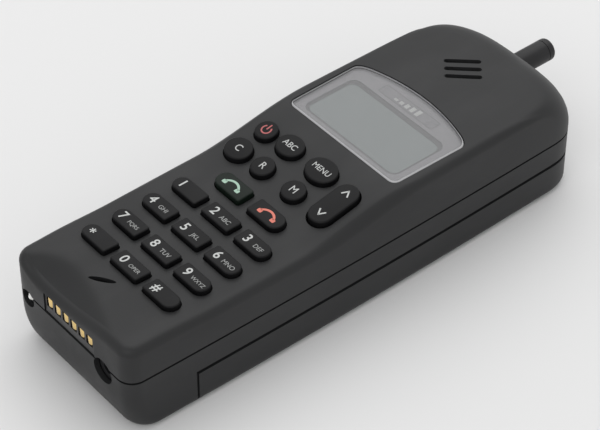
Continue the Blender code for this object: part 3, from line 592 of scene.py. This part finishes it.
def round_ends(name):
    """Which sides of a key are half-round: the outer sides of the outer columns."""
    low, high = key_box(name)
    middle = (low.x + high.x) / 2
    return middle < -2 * MM, middle > 2 * MM


print("key 5 is", [round((b - a) / MM, 1) for a, b in zip(*key_box("key_5"))], "mm")

# %% [markdown]
# ## Keys
#
# A number key starts as a block. Its upright edges are bevelled by half its depth where the end is round and by a
# little where it is square, and its top edge gets a soft bevel. The flange is pulled out of the bottom face, and at
# last the top is tilted to follow the face, which climbs under the upper keys.

# %% Modelling a key
BLUNT = 0.8 * MM                # corner radius of a key's straight end
NEARLY = 0.1 * MM               # a half-round end is this much short of a full half circle
SKIRT = 0.6 * MM                # thickness of the flange


def key_block(name, low, high, left, right, grow=0.0):
    """Upright block with its own corner radius at the left and at the right."""
    size = [high.x - low.x + 2 * grow, high.y - low.y + 2 * grow, high.z - low.z]
    middle = (low + high) / 2
    bpy.ops.object.select_all(action="DESELECT")
    bpy.ops.mesh.primitive_cube_add(size=1, location=middle)
    obj = bpy.context.object
    obj.scale = size
    leave(obj, name)
    for radius, side in ((left, -1), (right, 1)):
        pick(obj, "EDGE", lambda a, b: abs(a.z - b.z) > size[2] / 2 and (a.x - middle.x) * side > 0)
        bpy.ops.mesh.bevel(offset=radius + grow, segments=10, affect="EDGES", clamp_overlap=False)
        bpy.ops.object.mode_set(mode="OBJECT")
    return obj


def oval_block(name, low, high, grow=0.0):
    bpy.ops.object.select_all(action="DESELECT")
    bpy.ops.mesh.primitive_cylinder_add(vertices=48, radius=0.5, depth=1, location=(low + high) / 2)
    obj = bpy.context.object
    obj.scale = (high.x - low.x + 2 * grow, high.y - low.y + 2 * grow, high.z - low.z)
    return leave(obj, name)


def soften_top(obj, top, width=0.55 * MM):
    """Round the edge of the flat top."""
    eps = 0.01 * MM
    pick(obj, "FACE", lambda c, n: c.z > top - eps and n.z > 0.9)
    bpy.ops.mesh.bevel(offset=width, segments=4, affect="EDGES", profile=0.55)
    bpy.ops.mesh.select_all(action="DESELECT")
    bpy.ops.object.mode_set(mode="OBJECT")
    return obj


def add_flange(obj, low, height):
    """Extrude the bottom face outwards and down, as the skirt that the cover holds."""
    size = obj.dimensions
    eps = 0.01 * MM
    pick(obj, "FACE", lambda c, n: c.z < low.z + height + eps and n.z < -0.9)
    centre = sum((Vector(corner) for corner in obj.bound_box), Vector()) / 8
    bpy.ops.mesh.extrude_region_move()
    bpy.ops.transform.resize(value=((size.x + 2 * FLANGE) / size.x, (size.y + 2 * FLANGE) / size.y, 1),
                             center_override=centre)
    bpy.ops.mesh.extrude_region_move(TRANSFORM_OT_translate={"value": (0, 0, -height)})
    bpy.ops.object.mode_set(mode="OBJECT")
    return obj


def follow_face(obj, node, top, flat_below):
    """Tilt everything above a height so that it follows the climbing face."""
    for vertex in obj.data.vertices:
        if vertex.co.z > flat_below:
            vertex.co.z += key_top(node, vertex.co.y) - top
    return obj


def key_form(name, node, shape, foot, head, grow=0.0):
    """Upright solid with a key's outline: oval, or with one or both of its ends half-round."""
    low, high = key_box(node)
    if shape == "oval":
        return oval_block(name, foot, head, grow)
    if shape == "rocker":
        round_end = (high.x - low.x) / 2 - NEARLY
        return key_block(name, foot, head, round_end, round_end, grow)
    round_end = (high.y - low.y) / 2 - NEARLY
    at_left, at_right = round_ends(node)
    return key_block(name, foot, head, round_end if at_left else BLUNT, round_end if at_right else BLUNT, grow)


def make_key(node, shape, finish="key"):
    low, high = key_box(node)
    middle_y = (low.y + high.y) / 2
    top = key_top(node, middle_y)
    foot = Vector((low.x, low.y, low.z + SKIRT))
    obj = key_form(node + "_cap", node, shape, foot, Vector((high.x, high.y, top)))
    soften_top(obj, top)
    add_flange(obj, low, SKIRT)
    follow_face(obj, node, top, foot.z + 0.01 * MM)
    smooth(obj)
    return wear_finish(obj, finish, "key_rubber", node, node)


for label in NUMBERS:
    make_key("key_" + label, "number")
make_key("key_send", "number", "send")
make_key("key_end", "number")
for label in OVALS:
    make_key("key_" + label, "oval")
make_key("scroll_rocker", "rocker")

# %% [markdown]
# ## Openings in the front cover
#
# The holes are cut with solids a little larger than what goes through them: the keys with their clearance, the
# window's seat with a ledge below it, the slanted earpiece slots, the microphone slot and the chin's sockets.

# %% Cutting the front cover
CUT_FROM = PARTING + 4 * MM     # the holes in the face start inside the shell
LENS_SHOULDER = 40.7 * MM
LENS_FOOT, LENS_CORNER = 2.6 * MM, 2.0 * MM


def key_cutter(node, shape, grow):
    low, high = key_box(node)
    foot = Vector((low.x, low.y, CUT_FROM))
    return key_form(node + "_hole", node, shape, foot, Vector((high.x, high.y, high.z + 5 * MM)), grow)


def lens_outline(grow=0.0, steps=24):
    """Display window: straight sides, rounded corners and an arched top, moved outwards by grow."""
    low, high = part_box("display_window")
    half = high.x + grow
    foot, corner = LENS_FOOT + grow, LENS_CORNER
    shoulder = LENS_SHOULDER + grow * 0.7
    arch = high.y + grow - shoulder
    points = []
    for i in range(7):
        angle = math.pi / 2 * i / 6
        points.append((half - 0.4 * MM - foot + foot * math.sin(angle),
                       low.y - grow + foot - foot * math.cos(angle)))
    start = half - 2.2 * corner
    a = Vector((half, shoulder - corner * 1.2))
    b = Vector((half, shoulder))
    c = Vector((start, shoulder + arch * (1 - (start / half) ** 2)))
    points.append(tuple(a))
    for i in range(1, 6):
        t = i / 6
        p = a * (1 - t) ** 2 + b * 2 * t * (1 - t) + c * t * t
        points.append((p.x, p.y))
    for i in range(steps + 1):
        x = start * (1 - 2 * i / steps)
        points.append((x, shoulder + arch * (1 - (x / half) ** 2)))
    return points + [(-x, y) for x, y in reversed(points[:13])]


def slot_cutter(name, x, y, reach_x, reach_y, width, z):
    """Cutter for a straight slot with round ends through (x, y)."""
    length = math.hypot(reach_x, reach_y)
    low = Vector((-length - width / 2, -width / 2, z))
    high = Vector((length + width / 2, width / 2, z + 30 * MM))
    obj = key_block(name, low, high, width / 2 - 0.01 * MM, width / 2 - 0.01 * MM)
    use(obj)
    obj.rotation_euler.z = math.atan2(reach_y, reach_x)
    obj.location = (x, y, 0)
    return leave(obj)


EAR, EAR_STEP, EAR_RUN = Vector((-2.8, 65.3)) * MM, Vector((3.0, -2.55)) * MM, Vector((3.5, 3.8)) * MM
MIC, MIC_RUN = Vector((-1.3, -79.4)) * MM, Vector((2.9, 2.0))
SLOT_WIDTH = 1.9 * MM
LEAF_REACH = 4.4 * MM           # half the length of the leaf-shaped microphone slot
LENS_SEAT, LENS_LEDGE = 0.25 * MM, 1.9 * MM
cutters = [key_cutter("key_" + n, "number", KEY_CLEARANCE) for n in (*NUMBERS, "send", "end")]
cutters += [key_cutter("key_" + n, "oval", KEY_CLEARANCE) for n in OVALS]
cutters.append(key_cutter("scroll_rocker", "rocker", 2 * KEY_CLEARANCE))
for side in (-1, 0, 1):
    cutters.append(slot_cutter("ear_slot", EAR.x + side * EAR_STEP.x, EAR.y + side * EAR_STEP.y, EAR_RUN.x,
                               EAR_RUN.y, SLOT_WIDTH, CUT_FROM))
leaf = oval_block("mic_slot", Vector((-LEAF_REACH, -SLOT_WIDTH / 2, CUT_FROM)),
                  Vector((LEAF_REACH, SLOT_WIDTH / 2, 60 * MM)))
leaf.rotation_euler.z = math.atan2(MIC_RUN.y, MIC_RUN.x)
leaf.location = (MIC.x, MIC.y, 0)
cutters.append(leave(use(leaf)))
cut(shell, gather(*cutters))
lens_low, lens_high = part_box("display_window")
cut(shell, plate("lens_seat", lens_outline(LENS_SEAT), lens_low.z - 0.3 * MM, HEAD + 5 * MM))
cut(shell, plate("lens_hole", lens_outline(-LENS_LEDGE), CUT_FROM, HEAD + 5 * MM))
print("front cover faces after cutting:", len(shell.data.polygons))

# %% [markdown]
# The chin's two round sockets and the aerial's bush sit in holes along the phone, and the connector in a notch that
# opens at the parting line, so both covers are cut by the same cylinders.

# %% Chin and aerial openings
def tube_cutter(name, x, z, radius, y0, y1, vertices=64):
    bpy.ops.object.select_all(action="DESELECT")
    bpy.ops.mesh.primitive_cylinder_add(vertices=vertices, radius=radius, depth=abs(y1 - y0),
                                        location=(x, (y0 + y1) / 2, z), rotation=(math.pi / 2, 0, 0))
    return leave(bpy.context.object, name)


def middle_of(node):
    low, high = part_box(node)
    return (low + high) / 2


charger, aux, bush = middle_of("charger_socket"), middle_of("aux_socket"), middle_of("antenna_cap")
CHARGER_RADIUS, AUX_RADIUS = 3.1 * MM, 4.4 * MM
CAP_RADIUS = (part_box("antenna_cap")[1].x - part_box("antenna_cap")[0].x) / 2


def round_openings():
    return [tube_cutter("charger_hole", charger.x, charger.z, CHARGER_RADIUS, CHIN_Y - 5 * MM,
                        CHIN_Y + 9 * MM),
            tube_cutter("aux_hole", aux.x, aux.z, AUX_RADIUS, CHIN_Y - 5 * MM, CHIN_Y + 10 * MM),
            tube_cutter("bush_hole", bush.x, bush.z, CAP_RADIUS + 0.5 * MM, HALF_LENGTH - 6 * MM,
                        HALF_LENGTH + 10 * MM)]


def box_cutter(name, low, high):
    return plate(name, [(low[0], low[1]), (high[0], low[1]), (high[0], high[1]), (low[0], high[1])],
                 low[2], high[2])


AIR = 0.3 * MM
plug_low, plug_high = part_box("connector_body")
notch = box_cutter("connector_notch", (plug_low.x - AIR, CHIN_Y - 5 * MM, PARTING - 5 * MM),
                   (plug_high.x + AIR, CHIN_Y + 8 * MM, plug_high.z + AIR))
cut(shell, notch, *round_openings())
print("front cover faces with its end openings:", len(shell.data.polygons))

# %% [markdown]
# ## Rear cover and battery pack
#
# Both are slices of one lower form. Its back edges are rounded and its chin curves inwards as it nears the table.
# The rear cover keeps the chin and the band below the parting line, and the pack keeps the rest.

# %% The lower form
def curved_inset(z, reach, height):
    """How far a quarter ellipse that ends upright at a height stands inwards at z."""
    drop = max(0.0, 1 - z / height)
    return reach * (1 - math.sqrt(max(0.0, 1 - drop ** 2)))


def lower_form(name, top, wall=0.0):
    heights = [BACK_RADIUS * (1 - math.cos(math.pi / 2 * k / 7)) for k in range(8)]
    heights += [CHIN_LEAN_TOP * share for share in (0.28, 0.38, 0.5, 0.62, 0.75, 0.88, 1.0)]
    rings = []
    for z in [wall, *[h for h in heights if wall < h < top], top]:
        side = wall + curved_inset(z, BACK_RADIUS, BACK_RADIUS)
        chin = wall + curved_inset(z, CHIN_LEAN, CHIN_LEAN_TOP)
        rings.append(ring(outline(side, chin_inset=chin), z))
    return stack(name, rings)


# %% [markdown]
# The rear cover loses the pack's bay and is hollowed by one core for its upper part and one for its chin. The lower
# screws stand in pillars joined to the chin, with a well for each head.

# %% The rear cover
FAR = 0.3
STEP = -68.5 * MM               # the pack starts here, above the chin
START = STEP + 2 * SEAM
ROOF = pack_high.z + 2 * SEAM
PILLAR_RADIUS, WELL_RADIUS, SHANK_RADIUS = 2.9 * MM, 2.2 * MM, 1.2 * MM
rear = lower_form("rear_shell", rear_high.z)
cut(rear, box_cutter("bay", (-FAR, STEP, -FAR), (FAR, FAR, ROOF)))
chin_core = cut(lower_form("chin_core", FAR, WALL),
                box_cutter("upper", (-FAR, STEP - WALL, -FAR), (FAR, FAR, 2 * FAR)))
cut(rear, plate("upper_core", outline(WALL), ROOF + WALL, FAR), chin_core)
HEAD_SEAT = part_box("screw_lower_left")[0].z + 1.5 * MM


def posts(kind, radius, low, high):
    """Round posts along the lower or the upper pair of screws."""
    made = []
    for side in ("left", "right"):
        centre = middle_of(f"screw_{kind}_{side}")
        made.append(oval_block("post", Vector((centre.x - radius, centre.y - radius, low)),
                               Vector((centre.x + radius, centre.y + radius, high))))
    return made


cut(rear, gather(*posts("lower", PILLAR_RADIUS, WALL / 2, rear_high.z - AIR)), how="UNION")
wells = posts("lower", WELL_RADIUS, -MM, HEAD_SEAT)
shanks = posts("lower", SHANK_RADIUS, HEAD_SEAT - MM, 30 * MM)
studs = posts("upper", SHANK_RADIUS, 10 * MM, 30 * MM)
cut(rear, gather(*wells), gather(*shanks, *studs), *round_openings())
print("rear cover:", len(rear.data.polygons), "faces")

# %% [markdown]
# ## Battery pack
#
# The pack is a shallow tray that hooks into the chin at its lower end. Its two hooks are joined to the tray, and
# the rear cover gets a pocket for each and a window for the spring terminals.

# %% The tray, its hooks and their pockets
PACK_WALL = 1.2 * MM
HOOKS, HOOK_HALF, POCKET_HALF = (-14 * MM, 14 * MM), 3 * MM, 3.5 * MM
spring_low, spring_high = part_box("battery_terminals")
air = Vector((AIR, AIR, AIR))
cut(rear, box_cutter("terminal_window", spring_low - air, spring_high + air))
cut(rear, gather(*[box_cutter("pocket", (x - POCKET_HALF, STEP - 1.8 * MM, 0.9 * MM),
                              (x + POCKET_HALF, STEP + 0.5 * MM, 3.7 * MM)) for x in HOOKS]))
case = lower_form("pack_shell", pack_high.z)
cut(case, box_cutter("chin_off", (-FAR, -FAR, -FAR), (FAR, START, FAR)))
cut(case, plate("pack_core", outline(PACK_WALL, low=START + PACK_WALL), PACK_WALL, FAR))
cut(case, gather(*[box_cutter("hook", (x - HOOK_HALF, STEP - 1.3 * MM, 1.4 * MM),
                              (x + HOOK_HALF, START + 0.6 * MM, 2.9 * MM)) for x in HOOKS]), how="UNION")
print("rear cover and pack:", len(rear.data.polygons), len(case.data.polygons), "faces")

# %% [markdown]
# ## Seams
#
# Real covers meet in a shallow groove, which hides small steps between them and reads as a dark line. A band a
# little wider than the gap is cut round each joint. The pack's groove is deeper, because the pack comes off.

# %% Cutting the grooves
def band(name, low, high, depth, y0=-FAR, y1=FAR):
    """Closed band round the outside of the phone between two heights and two places along it."""
    made = plate(name, outline(-1 * MM), low, high)
    cut(made, plate("inside", outline(depth), low - MM, high + MM))
    if y0 > -FAR:
        cut(made, box_cutter("below", (-FAR, -FAR, -FAR), (FAR, y0, FAR)))
    if y1 < FAR:
        cut(made, box_cutter("above", (-FAR, y1, -FAR), (FAR, FAR, FAR)))
    return made


LINE, PACK_LINE = 0.24 * MM, 0.5 * MM               # how far each groove reaches beyond its gap
LINE_DEPTH, PACK_LINE_DEPTH = 0.7 * MM, 0.9 * MM
for piece in (shell, rear):
    cut(piece, band("parting", rear_high.z - LINE, cover_low.z + LINE, LINE_DEPTH))
for piece in (rear, case):
    cut(piece, band("pack_top", pack_high.z - PACK_LINE, ROOF + PACK_LINE, PACK_LINE_DEPTH, y0=START))
    cut(piece, band("pack_end", -MM, ROOF + PACK_LINE, LINE_DEPTH, STEP - LINE, START + LINE))
LABEL_LOW, LABEL_HIGH = Vector((-22, -48, -1)) * MM, Vector((22, 22, 0.25)) * MM
cut(case, box_cutter("label", LABEL_LOW, LABEL_HIGH))
LATCH_SLOT_LOW, LATCH_SLOT_HIGH = Vector((-7.3, 69.7, -1)) * MM, Vector((7.3, 83.3, 1.6)) * MM
cut(case, box_cutter("latch_slot", LATCH_SLOT_LOW, LATCH_SLOT_HIGH))
for piece, name, body, node in ((shell, "front_cover_shell", "handset", "front_cover"),
                                (rear, "rear_cover_shell", "handset", "rear_cover"),
                                (case, "battery_case_shell", "battery_pack", "battery_case")):
    leave(use(piece), name)
    smooth(piece, 30)
    wear_finish(piece, "body", "body_plastic", body, node)
    print(name, [round(d / MM, 1) for d in piece.dimensions], "mm")

# %% [markdown]
# ## Display
#
# The window is a stack of three outlines, so that its top edge is bevelled. The sides and the bevel carry a
# The sides and the bevel carry a painted highlight: an opaque light grey that stands in for light caught on the
# clear edge. Below it lie the printed mask, a sloping bezel whose dark grey is partly painted shade from the mask's
# edge, and the display glass, each a little deeper.

# %% The window and what it covers
def rounded_box(x0, x1, y0, y1, radius, steps=8):
    points = []
    for cx, cy, turn in ((x0 + radius, y0 + radius, 180), (x1 - radius, y0 + radius, 270),
                         (x1 - radius, y1 - radius, 0), (x0 + radius, y1 - radius, 90)):
        for i in range(steps + 1):
            angle = math.radians(turn + 90 * i / steps)
            points.append((cx + radius * math.cos(angle), cy + radius * math.sin(angle)))
    return points


def in_mm(*values):
    return [v * MM for v in values]


def frame_plate(name, outside, hole, low, high):
    return cut(plate(name, outside, low, high), plate(name + "_hole", hole, low - MM, high + MM))


def box_plate(name, x0, x1, y0, y1, low, high):
    """Plain rectangular plate with its sides in millimetres."""
    return plate(name, [(x * MM, y * MM) for x, y in ((x0, y0), (x1, y0), (x1, y1), (x0, y1))], low, high)


RIM = 0.38 * MM
window = stack("window", [ring(lens_outline(), lens_low.z), ring(lens_outline(), lens_high.z - 0.4 * MM),
                          ring(lens_outline(-RIM), lens_high.z)])
wear_finish(window, "window", "lens", "handset", "display_window")
# painted highlight: the window's sides and bevel get the light grey that stands for light caught on the clear edge
window.data.materials.append(FINISHES["rim"])
for face in window.data.polygons:
    if face.normal.z > -0.5 and face.normal.z < 0.98:
        face.material_index = 1
mask_top = lens_low.z - 0.05 * MM
opening = rounded_box(*in_mm(-22.0, 22.0, 13.7, 36.0, 3.2))
visible = rounded_box(*in_mm(-20.9, 20.9, 14.8, 34.4, 2.6))
mask = frame_plate("window_mask", lens_outline(-0.3 * MM), opening, mask_top - 0.15 * MM, mask_top)
wear_finish(mask, "mask", "lens")
bezel_top = mask_top - 0.15 * MM
bezel_edge = rounded_box(*in_mm(-22.3, 22.3, 13.4, 36.3, 3.4))
bezel = cut(plate("lcd_bezel", bezel_edge, bezel_top - 0.4 * MM, bezel_top),
            stack("bezel_slope", [ring(visible, bezel_top - MM), ring(visible, bezel_top - 0.35 * MM),
                                  ring(opening, bezel_top + 0.01 * MM), ring(opening, bezel_top + MM)]))
# the bezel's dark grey is partly painted shade, standing for the shadow of the mask's edge on the display
wear_finish(bezel, "bezel", "frame_white")
panel_low, panel_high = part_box("lcd_panel")
panel_edge = rounded_box(panel_low.x, panel_high.x, panel_low.y, panel_high.y, 1 * MM)
panel = plate("lcd_glass", panel_edge, panel_low.z, panel_high.z)
wear_finish(panel, "lcd", "lcd", "handset", "lcd_panel")
badge_low, badge_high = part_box("badge_plate")
badge_top = mask_top + 0.02 * MM
badge_shape = rounded_box(badge_low.x, badge_high.x, badge_low.y, badge_high.y, 0.7 * MM)
badge = plate("blank_badge", badge_shape, mask_top - 0.05 * MM, badge_top)
wear_finish(badge, "badge", "badge", "handset", "badge_plate")
inside = rounded_box(badge_low.x + 0.2 * MM, badge_high.x - 0.2 * MM, badge_low.y + 0.2 * MM,
                     badge_high.y - 0.2 * MM, 0.5 * MM)
edge = frame_plate("badge_edge", badge_shape, inside, badge_top - 0.02 * MM, badge_top + 0.02 * MM)
wear_finish(edge, "bezel", "badge")
bars = gather(*[box_plate("bars", x, x + 1.5, badge_low.y / MM + 0.9, badge_low.y / MM + 1.9 + 0.45 * i,
                          badge_top - 0.02 * MM, badge_top + 0.03 * MM)
                for i, x in enumerate((-6.0, -3.6, -1.2, 1.2, 3.6))])
leave(use(bars), "badge_bars")
wear_finish(bars, "ink", "badge")
print("display pieces:", [o.name for o in (window, mask, bezel, panel, badge)])

# %% [markdown]
# ## Legends
#
# Printed legends are ink a few hundredths of a millimetre thick. Letters are text turned into a mesh, and symbols
# are flat outlines. Both are laid on the key by giving every corner the height of the key's top beneath it.

# %% Printing on the keys
INK = 0.02 * MM


def lay_on_key(obj, node, finish):
    """Drop a flat print, modelled near z = 0, onto the sloping top of its key."""
    for vertex in obj.data.vertices:
        vertex.co.z = key_top(node, vertex.co.y) + (INK if vertex.co.z > 0 else -INK)
    leave(use(obj))
    return wear_finish(obj, finish, "key_rubber", node)


def letters(node, label, text, x, y, size, finish="ink", weight=0.0):
    bpy.ops.object.select_all(action="DESELECT")
    bpy.ops.object.text_add(location=(0, 0, 0))
    obj = bpy.context.object
    obj.data.body = text
    obj.data.size = size
    obj.data.extrude = INK
    obj.data.offset = weight
    obj.data.align_x, obj.data.align_y = "CENTER", "CENTER"
    bpy.ops.object.convert(target="MESH")
    obj = bpy.context.object
    obj.location = (x, y, 0)
    return lay_on_key(leave(use(obj), label), node, finish)


def arc_band(x, y, inner, outer, start, end, steps=20):
    """Outline of part of a flat ring, with angles in degrees."""
    turns = [math.radians(start + (end - start) * i / steps) for i in range(steps + 1)]
    return ([(x + outer * math.cos(a), y + outer * math.sin(a)) for a in turns]
            + [(x + inner * math.cos(a), y + inner * math.sin(a)) for a in reversed(turns)])


def symbol(node, label, finish, *outlines):
    parts = [plate(label, points, -INK, INK) for points in outlines]
    return lay_on_key(gather(*parts), node, finish)


def bar(x0, y0, x1, y1, width):
    """Outline of a straight stroke."""
    along = Vector((x1 - x0, y1 - y0)).normalized() * width / 2
    side = Vector((-along.y, along.x))
    a, b = Vector((x0, y0)), Vector((x1, y1))
    return [tuple(p) for p in (a - along - side, b + along - side, b + along + side, a - along + side)]


def key_middle(node):
    low, high = key_box(node)
    return (low.x + high.x) / 2, (low.y + high.y) / 2


for label, small in NUMBERS.items():
    node = "key_" + label
    x, y = key_middle(node)
    big = {"star": "*", "hash": "#"}.get(label, label)
    lift = -0.8 * MM if label == "star" else 0
    letters(node, node + "_digit", big, x - 3.1 * MM, y + lift, 4.7 * MM, weight=0.00006)
    if small:
        letters(node, node + "_letters", small, x + 2.3 * MM, y - 0.35 * MM,
                (2.3 if len(small) < 4 else 2.0) * MM, "ink_soft", 0.00001)
for label, text in OVALS.items():
    if text:
        x, y = key_middle("key_" + label)
        size = {1: 3.6, 3: 3.0, 4: 2.8}[len(text)]
        letters("key_" + label, "key_" + label + "_letters", text, x, y, size * MM)
x, y = key_middle("key_power")
symbol("key_power", "power_symbol", "ink_power", arc_band(x, y, 1.35 * MM, 1.85 * MM, 130, 410, 28),
       bar(x, y + 0.3 * MM, x, y + 2.1 * MM, 0.5 * MM))
for node, finish in (("key_send", "ink_green"), ("key_end", "ink_red")):
    x, y = key_middle(node)
    low = y - 1.3 * MM
    ends = [rounded_box(x + s * 3.0 * MM - 0.9 * MM, x + s * 3.0 * MM + 0.9 * MM, low - 0.1 * MM,
                        low + 1.3 * MM, 0.4 * MM) for s in (-1, 1)]
    symbol(node, node + "_symbol", finish, arc_band(x, low - 0.9 * MM, 3.2 * MM, 4.0 * MM, 32, 148), *ends)
x, y = key_middle("scroll_rocker")
for name, sign in (("up", 1), ("down", -1)):
    cy = y + sign * 5.2 * MM
    tip = cy + sign * 0.9 * MM
    foot = cy - sign * 0.9 * MM
    symbol("scroll_rocker", "rocker_" + name, "ink", bar(x - 1.2 * MM, foot, x, tip, 0.5 * MM),
           bar(x + 1.2 * MM, foot, x, tip, 0.5 * MM))

# %% [markdown]
# ## Contacts, aerial and latch
#
# The contacts are bent strips of gilded spring, so they are blocks with every edge rounded. The aerial's tip is a
# turned cap with a soft end. The latch is a ribbed thumb pad joined to the plate that slides in the pack.

# %% Small moving and metal parts
def soft_block(name, low, high, radius, segments=4):
    bpy.ops.object.select_all(action="DESELECT")
    bpy.ops.mesh.primitive_cube_add(size=1, location=(low + high) / 2)
    obj = bpy.context.object
    obj.scale = high - low
    leave(obj, name)
    bpy.ops.object.mode_set(mode="EDIT")
    bpy.ops.mesh.select_all(action="SELECT")
    bpy.ops.mesh.bevel(offset=radius, segments=segments, affect="EDGES")
    bpy.ops.object.mode_set(mode="OBJECT")
    return smooth(leave(use(obj)), 50)


for i in range(1, 7):
    node = f"contact_{i}"
    low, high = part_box(node)
    pad = oval_block(node + "_spring", Vector((low.x, low.y, low.z)), Vector((high.x, high.y + 0.6 * MM, high.z)))
    for end in (low.z, high.z):
        pick(pad, "FACE", lambda c, n: abs(c.z - end) < 1e-6)
        bpy.ops.mesh.bevel(offset=0.5 * MM, segments=3, affect="EDGES")
        bpy.ops.object.mode_set(mode="OBJECT")
    wear_finish(smooth(pad, 50), "gold", "gold", "handset", node)

tip_low, tip_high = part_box("antenna_cap")
cap = tube_cutter("antenna_tip", bush.x, bush.z, CAP_RADIUS, tip_low.y, tip_high.y, 72)
eps = 0.01 * MM
pick(cap, "FACE", lambda c, n: c.y > tip_high.y - eps)
bpy.ops.mesh.bevel(offset=1.3 * MM, segments=6, affect="EDGES", profile=0.5)
bpy.ops.mesh.select_all(action="DESELECT")
bpy.ops.object.mode_set(mode="OBJECT")
pick(cap, "FACE", lambda c, n: c.y < tip_low.y + eps)
bpy.ops.mesh.bevel(offset=0.3 * MM, segments=2, affect="EDGES")
bpy.ops.object.mode_set(mode="OBJECT")
bore = tube_cutter("bore", bush.x, bush.z, 1.4 * MM, tip_low.y - MM, tip_low.y + 2 * MM)
groove = cut(tube_cutter("groove", bush.x, bush.z, CAP_RADIUS + MM, tip_high.y - 3.0 * MM,
                         tip_high.y - 2.75 * MM),
             tube_cutter("core", bush.x, bush.z, CAP_RADIUS - 0.2 * MM, tip_low.y, tip_high.y))
cut(cap, bore, groove)
smooth(leave(use(cap)), 30)
wear_finish(cap, "antenna", "black_plastic", "antenna", "antenna_cap")

latch = soft_block("latch_pad", Vector((-7, 72, 0.3)) * MM, Vector((7, 83, 2.0)) * MM, 0.4 * MM)
RIB_START, RIB_PITCH, RIB_WIDTH, RIB_HALF = 74.5 * MM, 1.5 * MM, 0.6 * MM, 5.5 * MM
for i in range(5):
    y = RIB_START + i * RIB_PITCH
    cut(latch, box_cutter("rib", (-RIB_HALF, y, -MM), (RIB_HALF, y + RIB_WIDTH, 0.7 * MM)))
slide = soft_block("latch_plate", Vector((-8.5, 68.5, 1.5)) * MM, Vector((8.5, 84.5, 3.1)) * MM, 0.2 * MM)
cut(latch, slide, how="UNION")
wear_finish(smooth(latch, 40), "black", "black_plastic", "battery_latch", "battery_latch")
print("contact, cap and latch faces:", len(pad.data.polygons), len(cap.data.polygons), len(latch.data.polygons))

# %% [markdown]
# ## Pieces that keep their own meshes
#
# Inside parts are simple enough as they are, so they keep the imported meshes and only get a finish.

# %% Finishes for the remaining pieces
BY_FINISH = {
    "body": ["battery_lid"],
    "white": ["lcd_holder"],
    "board": ["main_board", "key_board"],
    "mat": ["key_mat"],
    "steel": ["rf_shield", "earpiece", "microphone", "antenna_rod", "screw_lower_left",
              "screw_lower_right", "screw_upper_left", "screw_upper_right"],
    # painted highlight: the charger pin's light grey stands for the glint on its metal
    "pin": ["charger_pin"],
    "gold": ["battery_terminals"],
    "black": ["antenna_bushing", "charger_socket", "connector_body", "aux_socket"],
    "card": ["sim_card"],
    "cell": [f"battery_cell_{i}" for i in range(1, 6)],
}
for finish, names in BY_FINISH.items():
    for name in names:
        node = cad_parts[name]
        node.data.materials.clear()
        node.data.materials.append(FINISHES[finish])
print("pieces finished as they are:", sum(len(v) for v in BY_FINISH.values()))

# %% [markdown]
# ## Camera, light and floor
#
# A long lens from above the keypad's right corner shows the phone lying on its back, as a product picture would.
# One large soft light stands behind on the left and a weak one fills the side, so the near side falls into shade.

# %% Studio
def aim(obj, target):
    obj.rotation_mode = "QUATERNION"
    obj.rotation_quaternion = (Vector(target) - obj.location).to_track_quat("-Z", "Y")


TARGET = Vector((1.29, -6.07, 20.0)) * MM
camera = bpy.data.objects.new("camera", bpy.data.cameras.new("camera"))
bpy.context.scene.collection.objects.link(camera)
camera.location = Vector((424.78, -355.36, 525.26)) * MM
camera.data.lens = 143.25
camera.data.sensor_width = 36
camera.data.clip_start = 0.01
aim(camera, TARGET)
bpy.context.scene.camera = camera


def soft_light(name, place, size, power):
    lamp = bpy.data.lights.new(name, "AREA")
    lamp.shape = "DISK"
    lamp.size = size
    lamp.energy = power
    obj = bpy.data.objects.new(name, lamp)
    bpy.context.scene.collection.objects.link(obj)
    obj.location = place
    aim(obj, TARGET)
    return obj


soft_light("key_light", (-0.55, 0.6, 1.5), 2.1, 11)
soft_light("fill_light", (0.5, -1.2, 1.1), 1.4, 3)

bpy.ops.object.select_all(action="DESELECT")
bpy.ops.mesh.primitive_plane_add(size=12, location=(0, 0, -0.0002))
floor = bpy.context.object
floor.name = "floor"
floor.data.materials.append(blank("studio_paper", (0.76, 0.76, 0.76), 0.9)[0])

world = bpy.data.worlds.new("studio")
bpy.context.scene.world = world
world.use_nodes = True
world.node_tree.nodes["Background"].inputs["Color"].default_value = (1, 1, 1, 1)
world.node_tree.nodes["Background"].inputs["Strength"].default_value = 0.8
bpy.context.scene.view_settings.view_transform = "Standard"
print("camera at", [round(c / MM) for c in camera.location], "mm")
